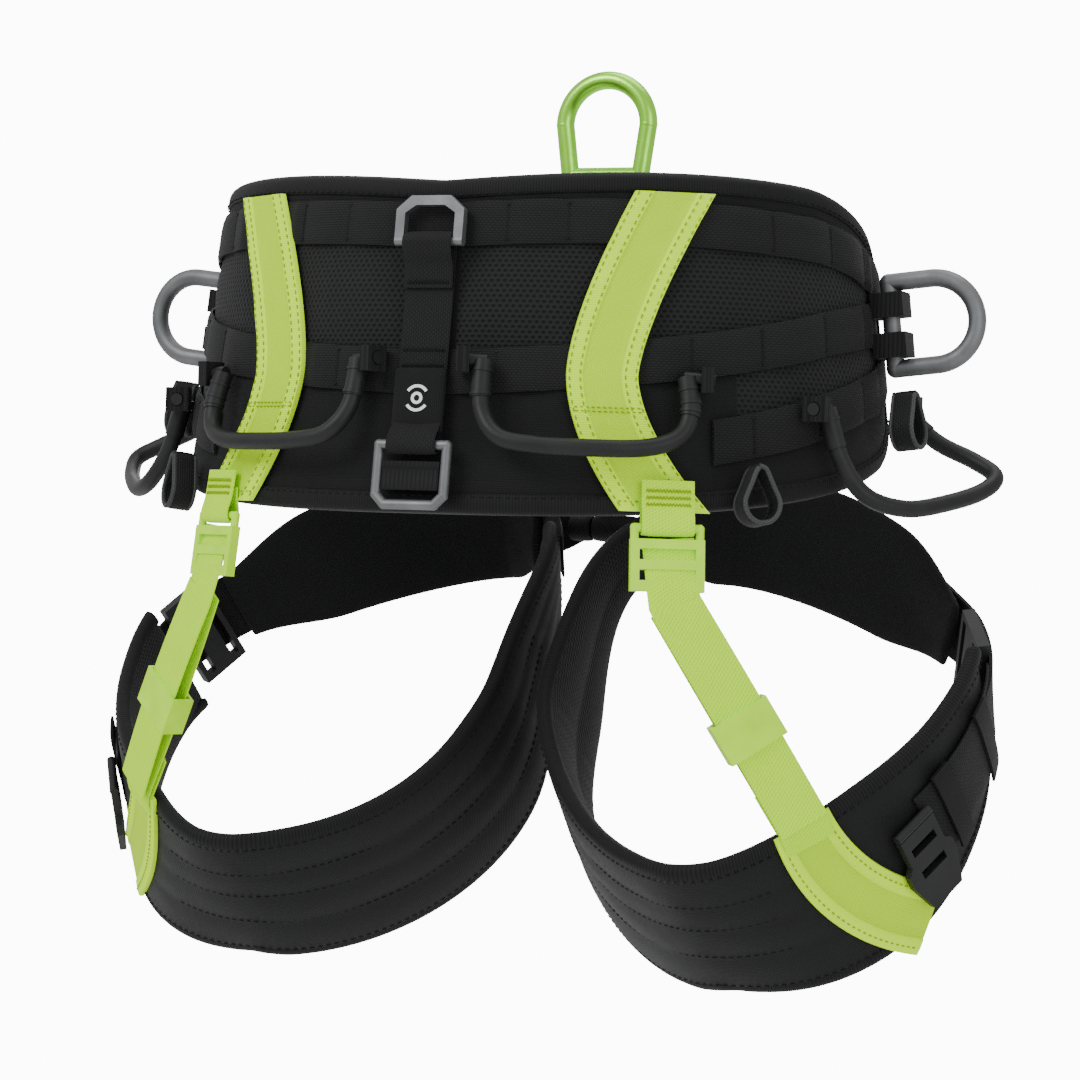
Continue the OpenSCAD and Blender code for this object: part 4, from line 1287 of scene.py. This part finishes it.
@dataclass
class ThighLoop:
    """One padded thigh loop with its riser, green tape, front band and outer strap."""

    side: Side

    def __post_init__(self) -> None:
        """Takes the loop's form for this side."""
        self.form = ThighForm(self.side)
        self.body = f"thigh_{self.side.word}"

    def crown(self, up: float, width: float) -> float:
        """How far the pad's faces drop towards its two edges."""
        return 2.4 * (2 * up / width) ** 2

    def pad(self) -> None:
        """Builds and fills the pad in lengthwise channels, with creases where it turns in."""
        form = self.form
        angles = np.linspace(form.begin, form.end, 124)
        shares = np.linspace(-0.5, 0.5, 23)
        outer, inner, run, held = [], [], [], []
        reach = 0.0
        for i, a in enumerate(angles):
            wide = form.width(a)
            per_degree = float(np.linalg.norm(form.middle(a + 1) - form.middle(a - 1))) / 2
            reach += per_degree * (angles[1] - angles[0])
            end = min(1.0, min(a - form.begin, form.end - a) / 6)
            rim = 2.2 * (1 - end)
            ridge = [
                0.9 * wobble(a / 13 + u * 2, u * 7, 5) * ease(1 - abs(2 * u) ** 3) * ease((45 - a) / 50)
                for u in shares
            ]
            outer.append([form.point(a, u * wide, form.out - self.crown(u * wide, wide) - rim + r * 0.6)
                          for u, r in zip(shares, ridge)])
            inner.append([form.point(a, u * wide, -form.out + 2.4 * (2 * u) ** 2 + rim + r * 0.4)
                          for u, r in zip(shares, ridge)])
            run.append([(reach, u * wide) for u in shares])
            for j in range(len(shares)):
                edge = i in (0, len(angles) - 1) or j in (0, len(shares) - 1)
                under_tape = abs(a - 35 - 18 * (0.5 - shares[j]) ** 2) < 9 or a > 66
                if edge or j in (7, 12, 16) or under_tape:
                    held.append(i * len(shares) + j)
                if edge or j == 11:
                    held.append(len(angles) * len(shares) + i * len(shares) + j)
        name = f"thigh_pad_{self.side.word}"
        piece = Piece(name).sheet(np.array(outer), np.array(inner), np.array(run))
        cells = (len(angles) - 1) * (len(shares) - 1)
        for k in range(cells):
            piece.kinds[2 * k + 1] = 1
        made = piece.build([PAD_SKIN, LINER])
        swell(made, held, THIGH_FILL)
        soften(made)
        settle(made, self.body,
               [f"leg_{part}_{self.side.word}" for part in ("shell", "foam", "liner")])
        self.rims(angles)

    def rims(self, angles: np.ndarray) -> None:
        """Sews a rounded binding along both edges and stitches the channels."""
        form, piece, stitches = self.form, Piece(f"thigh_rim_{self.side.word}"), []
        dense = np.linspace(angles[0], angles[-1], 190)
        profile = [(4.2, 7.5), (4.6, 4), (4.0, 1.2), (2.4, -0.9), (0, -1.7),
                   (-2.4, -0.9), (-4.0, 1.2), (-4.6, 4), (-4.2, 7.5)]
        inset = [(3.0, 7.3), (3.2, 4), (2.8, 2.2), (1.6, 0.6), (0, 0),
                 (-1.6, 0.6), (-2.8, 2.2), (-3.2, 4), (-3.0, 7.3)]
        for edge in (-1, 1):
            grids = [
                np.array([
                    [form.point(a, edge * (form.width(a) / 2 - inward), out) for out, inward in shape]
                    for a in dense
                ])
                for shape in (profile, inset)
            ]
            run = np.array([[(a * 1.9, k * 2.4) for k in range(len(profile))] for a in dense])
            piece.sheet(grids[0], grids[1], run)
            line = [form.point(a, edge * (form.width(a) / 2 - 6.2), 4.85) for a in dense]
            stitches += seam(np.array(line), 3.2, 1.4)
        settle(soften(piece.build([EDGE], 60)), self.body)
        for share in (-0.182, 0.045, 0.227):
            line = [
                form.point(a, share * form.width(a), form.out - self.crown(share, 1.0) + 0.2)
                for a in dense if -110 < a < 24
            ]
            stitches += seam(np.array(line), 3.0, 1.5)
        Thread(BLACK_THREAD).sew(f"thigh_seams_{self.side.word}", stitches, self.body)

    def tape(self) -> None:
        """Lays the green tape over the pad, curving forward to its lower edge."""
        edge = self.form.pad / 2
        fold = [-18, -17.5, -14, -9.8, -9.4, -3, 3, 9.4, 9.8, 14, 17.5, 18]
        outs = [0.2, 1.7, 2.3, 2.1, 1.5, 1.4, 1.4, 1.5, 2.1, 2.3, 1.7, 0.2]

        def route(u: float) -> tuple[float, float]:
            """Angle and height on the pad at a share of the tape's length."""
            return 35 + 18 * u * u, mix(edge + 2, 2.5 - edge, u)

        rows, lows, runs = [], [], []
        shares = np.linspace(0, 1, 46)
        for u in shares:
            a, up = route(u)
            (a0, u0), (a1, u1) = route(u - 0.02), route(u + 0.02)
            h = unit(np.array([(a1 - a0) * 2.2, u1 - u0]))

            def spot(s: float, lift: float) -> np.ndarray:
                """A point across the tape, lifted from the pad."""
                high = up + h[0] * s
                drop = 2.4 * min(1.1, abs(high) / edge) ** 2
                return self.form.point(a - h[1] * s / 2.2, high, self.form.out + 0.9 + lift - drop)

            rows.append([spot(s, o) for s, o in zip(fold, outs)])
            lows.append([spot(s, -0.6) for s in fold])
            runs.append([(u * 96, s) for s in fold])
        name = f"leg_tape_{self.side.word}"
        piece = Piece(name + "_curve").sheet(np.array(rows), np.array(lows), np.array(runs))
        columns = len(fold) - 1
        for i in range(len(shares) - 1):
            for j in range(4, 7):
                piece.kinds[2 * (i * columns + j)] = 1
        settle(piece.build([GREEN_EDGE, GREEN_CORE], 55), self.body, [name])
        top, low = np.array(rows), np.array(lows)
        stitches = []
        for j in (2, 9):
            stitches += seam(top[:, j] + (top[:, j] - low[:, j]) * 0.06, 2.4, 1.4)
        Thread(GREEN_THREAD).sew(name + "_seams", stitches, self.body)

    def riser(self) -> None:
        """Runs two layers of elastic from the lock to the pad, with a sewn overlap at the foot."""
        form = self.form
        flip = self.side.flip
        top, _, _, _ = BELT.frame(LOCK_ANGLE, LOCK_Z, ON_WEBBING + 1.5)
        right = ThighForm(Side.RIGHT)
        start = top + np.array([6, -3, -38.0])
        end = right.point(35, right.pad / 2 + 4, right.out + 4)
        across = unit(BELT.point(LOCK_ANGLE + 5, 0) - BELT.point(LOCK_ANGLE - 5, 0))
        last, away, down = right.axes(35)
        face = unit(np.cross(unit(end - start), across))
        name = f"riser_{self.side.word}"
        bend = Bend("belt", self.body, start * flip, end * flip)
        piece, count = Piece(name + "_elastic"), 46
        turn = np.array([unit(across * (1 - u) + last * u) for u in np.linspace(0, 1, count)])
        foot = end + down * -16 - away * 1.6
        for bow, wave in ((-1.6, 0.8), (1.6, 1.4)):
            shares = np.linspace(0, 1, count)
            line = np.array([
                start + (end - start) * u + face * bow * (1 + math.sin(math.pi * u) * wave) for u in shares
            ])
            if bow < 0:
                line = np.concatenate([line, [mix(end, foot, u) - face * 0.4 for u in (0.4, 0.8)]])
                turn_here = np.concatenate([turn, turn[-1:], turn[-1:]])
            else:
                climb = [start + (top - start) * u + face * (1.6 - 3.4 * u) for u in (0.85, 0.6, 0.35, 0.15)]
                line = np.concatenate([climb, line])
                turn_here = np.concatenate([np.tile(turn[0], (4, 1)), turn])
            piece.sheet(*strap_sheet(line * flip, turn_here * flip, 27, 1.9))
        patch = [
            start + (end - start) * u - face * (3.9 + math.sin(math.pi * u) * 1.3)
            for u in np.linspace(0.81, 0.98, 12)
        ]
        piece.sheet(*strap_sheet(np.array(patch) * flip, turn[-14:-2] * flip, 27.6, 1.7))
        settle(piece.build([GREEN_WEBBING], 50), bend, [name])
        stitches = []
        middle = np.array(patch) - face * 1.05
        for index in (1, 3, 9, 10):
            a, b = (middle[index] + turn[-12] * s * 11.5 for s in (-1, 1))
            stitches += seam(np.array([a, b]) * flip, 2.0, 0.9)
        for s in (-11.5, 11.5):
            stitches += seam((middle[1:11] + turn[-12] * s) * flip, 2.0, 0.9)
        Thread(GREEN_THREAD).sew(name + "_tacks", stitches, bend)

    @staticmethod
    def band_width(a: float) -> float:
        """The front band's width, drawn in towards its buckle and towards the middle."""
        taper = 0.66 + 0.34 * ease((a - 116) / 22)
        return (61 + 9 * sind((a - 118) / 78 * 180)) * taper * (1 - 0.25 * ease((a - 184) / 14))

    def band(self) -> None:
        """The wide soft band in front of the thigh and the webbing that joins it to the buckle."""
        form = self.form
        angles, shares = np.linspace(118, 196, 60), np.linspace(-0.5, 0.5, 15)
        skin, back, run = [], [], []
        for a in angles:
            wide = self.band_width(a)
            sag = [1.1 * wobble(a / 11, s * 5, 2) * (1 - (2 * s) ** 2) for s in shares]
            for face, out, fall in ((skin, 3.4, 2.2), (back, -3.0, -1.6)):
                face.append([
                    form.point(a, s * wide, out - fall * abs(2 * s) ** 4 + w) for s, w in zip(shares, sag)
                ])
            run.append([(a * 1.9, s * wide) for s in shares])
        name = f"leg_band_{self.side.word}"
        piece = Piece(name + "_soft").sheet(np.array(skin), np.array(back), np.array(run))
        flip = self.side.flip
        ring = [
            np.array([21, 120, 8]) + np.array([0, math.cos(a), math.sin(a)]) * 6.6
            for a in np.radians(np.linspace(0, 360, 33))
        ]
        piece.sheet(*strap_sheet(np.array(ring) * flip, SIDEWAYS, 13.6, 2.4), kind=1)
        self.tongue(piece)
        settle(soften(piece.build([SHELL, BLACK_WEBBING], 60)), self.body, [name])
        stitches = []
        for s in (-0.42, 0.42):
            line = [form.point(a, s * self.band_width(a), 2.9) for a in angles[2:-2]]
            stitches += seam(np.array(line), 3.2, 1.4)
        Thread(BLACK_THREAD).sew(name + "_seams", stitches, self.body)
        angles = np.linspace(62, 101, 30)
        wrap = Piece(f"leg_strap_{self.side.word}_wrap")
        places = np.linspace(-22, 22, 9)
        lift = [form.out + 0.7 + 1.4 * math.sin(math.pi * (a - 62) / 39) for a in angles]
        wrap.sheet(
            np.array([
                [form.point(a, s, o + 2.0 - 1.2 * abs(s / 22) ** 8) for s in places]
                for a, o in zip(angles, lift)
            ]),
            np.array([[form.point(a, s, o) for s in places] for a, o in zip(angles, lift)]),
            np.array([[(a * 2, s) for s in places] for a in angles]),
        )
        angles = np.linspace(92, 127, 30)
        lift = [6.6 + 1.6 * math.sin(math.pi * (a - 92) / 35) - 2.4 * ease((a - 114) / 10) for a in angles]
        wrap.sheet(
            np.array([[form.point(a, s, o + 2.0) for s in places * 0.86] for a, o in zip(angles, lift)]),
            np.array([[form.point(a, s, o) for s in places * 0.86] for a, o in zip(angles, lift)]),
            np.array([[(a * 2, s) for s in places] for a in angles]),
        )
        for a in (70.0, 88.0):
            turns = np.linspace(-25.5, 25.5, 15)
            wide = [a - 2.6, a - 1.2, a + 1.2, a + 2.6]
            grids = [
                np.array([
                    [form.point(b, s, form.out + out + crown * (1 - (s / 25.5) ** 4)) for b in wide]
                    for s in turns
                ])
                for out, crown in ((4.9, 1.1), (3.4, 0.8))
            ]
            wrap.sheet(grids[0], grids[1], np.array([[(s, b) for b in wide] for s in turns]), kind=1)
        made = wrap.build([BLACK_WEBBING, EDGE], 50)
        settle(made, self.body, [f"leg_strap_{self.side.word}"])

    def tongue(self, piece: Piece) -> None:
        """Narrows webbing from the band's end to the link at the front.

        Args:
            piece: what it is added to.
        """
        form, flip = self.form, self.side.flip
        places = np.linspace(-0.5, 0.5, 9)
        rails = []
        for s in places:
            knots = [form.point(180, s * 44, 3.4), form.point(191, s * 40, 4.6)]
            ways = ([32, 125.5, 7 + s * 24], [22, 128.2, 8 + s * 15], [14, 128.4, 8 + s * 13])
            knots += [flip * way for way in ways]
            rails.append(spline(knots, 6))
        outer = np.array(rails).transpose(1, 0, 2)
        run = np.array([[(i * 2.0, s * 40) for s in places] for i in range(len(outer))])
        piece.sheet(outer, outer - np.array([0, 2.2, 0]), run, kind=1)
        turns = np.linspace(192, 216, 20)
        sizes = [(mix(46, 30, ease((a - 194) / 14)), mix(3.6, 5.6, ease((a - 196) / 12))) for a in turns]
        grids = [
            np.array([
                [form.point(a, s * wide, out + k) for s in places] for a, (wide, out) in zip(turns, sizes)
            ])
            for k in (1.8, 0)
        ]
        piece.sheet(grids[0], grids[1], np.array([[(a * 2, s * 40) for s in places] for a in turns]), kind=1)

    def build(self) -> None:
        """Builds the loop's pieces."""
        self.pad()
        self.tape()
        self.riser()
        self.band()


class Front:
    """The waist straps and the sling that joins the front ring, the belt and the thigh loops."""

    height: float = 108.3
    half: float = 22

    def waist(self) -> None:
        """Lays the waist straps inside the belt's ends and round the front."""
        piece, wrap = Piece("waist_webbing"), 98
        places = np.linspace(-self.half, self.half, 9)
        edge = round_profile(9, 0.45)
        for begin, end in ((wrap, 180), (180.4, 203), (237, 262)):
            angles = np.linspace(begin, end, int((end - begin) * 0.8) + 2)
            grids = [
                np.array([
                    [BELT.point(t, self.height + s, -16.6 + k * e) for s, e in zip(places, edge)]
                    for t in angles
                ])
                for k in (1.05, -1.05)
            ]
            run = np.array([[(t * 3.0, s) for s in places] for t in angles])
            piece.sheet(grids[0], grids[1], run)
        settle(piece.build([BLACK_WEBBING], 50), "belt", ["waist_straps"])

    def sling(self) -> None:
        """Hangs the sling from the ring's lower bar down to the loop between the thighs."""
        line = spline([[0, 89, 182], [0, 104, 151], [0, 110, 108.3], [0, 112, 58.3], [0, 120, 17]], 10)
        wrap, loop = (
            np.array([
                [0, y + math.cos(a) * radius, z + math.sin(a) * radius]
                for a in np.radians(np.linspace(begin, end, 25))
            ])
            for y, z, radius, begin, end in ((86, 191, 7.3, -70, 250), (120, 8, 6.6, 100, 440))
        )
        piece = Piece("sling_webbing")
        for path, wide, thick in ((line, 30, 3.0), (wrap, 29, 2.0), (loop, 26, 2.4)):
            piece.sheet(*strap_sheet(path, SIDEWAYS, wide, thick))
        inside = [BELT.point(180, z, -19.4) for z in (131, 120, 108, 96, 86)]
        hold = [[0, 107.5, 146], [0, 103, 138], inside[0] + [0, 3, 3.5], *inside, inside[-1] + [0, 3, -3.5],
                [0, 106, 78], [0, 109.5, 70]]
        hold = spline(hold, 5)
        piece.sheet(*strap_sheet(hold, SIDEWAYS, 24, 1.8))
        settle(piece.build([BLACK_WEBBING], 50), "belt", ["front_bridge"])
        stitches = []
        for index in (3, 6, 9, 34, 37):
            p = line[index] + np.array([0, 1.7, 0])
            stitches += bar_tack(p - [12, 0, 0], p + [12, 0, 0], UPWARD, 2.4)
        Thread(BLACK_THREAD, 0.00034).sew("sling_tacks", stitches, "belt")


@dataclass
class GearLoop:
    """A moulded loop for tools, through points of angle, height and distance out."""

    name: str
    side: Side
    route: Sequence[Sequence[float]]
    radius: float = 4.5

    def build(self) -> None:
        """Builds the tube, its thicker ends with grooves, and its barrels."""
        flip = self.side.flip
        points = [BELT.point(*p) for p in self.route]
        line = spline(points, 9)
        axis = unit(points[-1] - points[0])
        body = f"gear_loop_{self.name}_{self.side.word}"
        piece = Piece(body + "_tube").tube(line * flip, self.radius, 20)
        steps = np.concatenate([[0], np.cumsum(np.linalg.norm(np.diff(line, axis=0), axis=1))])
        for end in (0, 1):
            reach = steps if end == 0 else steps[-1] - steps
            part = line[reach < 22]
            piece.tube(part * flip, self.radius + 0.7, 20)
            for groove in (6.0, 10.0, 14.0, 18.0):
                near = line[np.abs(reach - groove) < 2.2]
                if len(near) > 1:
                    centre = near.mean(axis=0)
                    way = unit(near[-1] - near[0])
                    ridge = np.array([centre - way * 0.8, centre + way * 0.8])
                    piece.tube(ridge * flip, self.radius + 1.15, 20)
            root = points[0] if end == 0 else points[-1]
            away = -axis if end == 0 else axis
            piece.tube(np.array([root - away * 2, root + away * 14]) * flip, 3.4, 16)
        settle(piece.build([MOULDED_BLACK], 38), body, [body])


REAR_LOOP = [[10, 90, 10], [10.3, 66, 13], [13, 52, 17], [18, 48, 18], [26, 47, 18],
             [34, 48, 17], [39, 54, 15], [41, 66, 13], [41, 84, 10]]
SIDE_LOOP = [[67, 72, 10], [68.5, 46, 14], [71, 28, 22], [77, 22, 32], [84, 26, 44],
             [90, 33, 56], [94, 41, 60], [96.5, 49, 48], [98, 59, 28], [99, 76, 10]]


@dataclass
class ToolLoop:
    """A small hanging drop of webbing with a lighter edge."""

    name: str
    side: Side
    angle: float
    height: float
    out: float

    def build(self) -> None:
        """Builds the band and the cord along its two edges."""
        origin, x, inward, up = BELT.frame(self.angle, self.height, self.out)
        big = [(9.7 * math.cos(a), -20 + 9.7 * math.sin(a)) for a in np.radians(np.linspace(160, 380, 12))]
        path = [(-1.6, -1.6), (-3.2, -3.6), (-6, -10), *big, (6, -10), (3.2, -3.6), (1.6, -1.6), (-1.6, -0.6)]
        flip = self.side.flip
        line = spline([origin + x * a + up * b for a, b in path], 3)
        piece = Piece(self.name + "_drop")
        piece.sheet(*strap_sheet(line * flip, inward * flip, 12, 2.4))
        for edge in (-1, 1):
            piece.tube((line + inward * edge * 5.8) * flip, 1.25, 10, kind=1)
        settle(piece.build([BLACK_WEBBING, GREY_EDGE], 50), self.name, [self.name])


def dress(words: Sequence[str], finish: Finish) -> None:
    """Gives CAD nodes a better material.

    Args:
        words: how the nodes' names begin.
        finish: their finish.
    """
    material = finish.material()
    for name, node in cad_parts.items():
        if any(name.startswith(word) for word in words):
            for slot in node.material_slots:
                slot.material = material


def lamp(name: str, place: Sequence[float], size: float, power: float) -> None:
    """Hangs a soft square lamp that looks at the saddle.

    Args:
        name: its name.
        place: where it is, in metres.
        size: its side.
        power: its power in watts.
    """
    light = bpy.data.lights.new(name, "AREA")
    light.shape, light.size, light.energy = "SQUARE", size, power
    made = bpy.data.objects.new(name, light)
    made.location = place
    made.rotation_euler = (-Vector(place)).to_track_quat("-Z", "Y").to_euler()
    bpy.context.scene.collection.objects.link(made)


# Name, place in metres, side in metres and power in watts of each lamp.
LAMPS = (
    ("key", (-1.1, -2.0, 1.7), 1.3, 46),
    ("fill", (1.9, -1.5, 0.5), 1.4, 17),
    ("top", (0.2, 0.3, 2.2), 1.6, 24),
    ("back", (-0.8, 2.0, 0.9), 1.4, 14),
)
# Light the world sheds, and how much more of it the camera sees as backdrop.
WORLD_LIGHT, WORLD_SEEN = 0.85, 11.0
# The photo's view: degrees round from the saddle's back towards its right, degrees of roll, and metres away.
CAMERA_AZIMUTH, CAMERA_ROLL, CAMERA_DISTANCE = 23, 1.8, 2.0
# Lens and sensor width in millimetres, and the lens's shift as a share of the frame.
LENS, SENSOR, LENS_SHIFT = 121.2, 36, 0.0046
# Radius and height of the floor, in metres.
FLOOR_RADIUS, FLOOR_HEIGHT = 1.75, -0.6


def studio() -> None:
    """Builds the pale floor, the pale world, the lamps and the camera."""
    world = bpy.data.worlds.new("pale_world")
    world.use_nodes = True
    pale, seen = world.node_tree.nodes["Background"], world.node_tree.nodes.new("ShaderNodeLightPath")
    pale.inputs["Color"].default_value = (1, 1, 1, 1)
    level = world.node_tree.nodes.new("ShaderNodeMath")
    level.operation = "MULTIPLY_ADD"
    level.inputs[1].default_value, level.inputs[2].default_value = WORLD_SEEN, WORLD_LIGHT
    world.node_tree.links.new(seen.outputs["Is Camera Ray"], level.inputs[0])
    world.node_tree.links.new(level.outputs[0], pale.inputs["Strength"])
    bpy.context.scene.world = world
    mesh = bpy.data.meshes.new("floor")
    work = bmesh.new()
    bmesh.ops.create_circle(work, cap_ends=True, segments=96, radius=FLOOR_RADIUS)
    work.to_mesh(mesh)
    work.free()
    floor = bpy.data.objects.new("floor", mesh)
    floor.location.z = FLOOR_HEIGHT
    bpy.context.scene.collection.objects.link(floor)
    paint = Moulding("floor_paint", (0.9, 0.9, 0.9), 0.9, 0.00002).material()
    mesh.materials.append(paint)
    for settings in LAMPS:
        lamp(*settings)
    azimuth = math.radians(CAMERA_AZIMUTH)
    back = Vector((math.sin(azimuth), -math.cos(azimuth), 0))
    data = bpy.data.cameras.new("camera")
    data.lens, data.sensor_width, data.shift_x = LENS, SENSOR, LENS_SHIFT
    camera = bpy.data.objects.new("camera", data)
    camera.location = back * CAMERA_DISTANCE
    camera.rotation_mode = "QUATERNION"
    roll = Quaternion((0, 0, 1), math.radians(CAMERA_ROLL))
    camera.rotation_quaternion = (-back).to_track_quat("-Z", "Y") @ roll
    bpy.context.scene.collection.objects.link(camera)
    bpy.context.scene.camera = camera


def main() -> None:
    """Builds the looks of the whole saddle."""
    logging.basicConfig(level=logging.INFO)
    studio()
    PaddedBelt().build()
    spine = Spine()
    spine.strap()
    spine.pocket()
    for side in Side:
        Yoke(side).build()
        ThighLoop(side).build()
        GearLoop("rear", side, REAR_LOOP).build()
        GearLoop("side", side, SIDE_LOOP).build()
        ToolLoop(f"tool_loop_{side.word}", side, 52, BELT.bottom(52) + 22, 12).build()
        ToolLoop(f"tool_loop_hip_{side.word}", side, 86, 83.5, 22).build()
    front = Front()
    front.waist()
    front.sling()
    dress(["gear_anchors", "ring_blocks", "hanger_patch"], FOLDED_WEBBING)
    dress(["spine_hanger", "lower_hanger", "side_ring", "waist_buckle", "waist_latch"], FORGED_GREY)
    dress(["front_ring"], FORGED_GREEN)
    dress(["ladder_lock", "riser_keeper"], MOULDED_GREEN)
    dress(["leg_clip", "leg_buckle", "waist_keeper"], MOULDED_BLACK)


if __name__ == "__main__":
    main()
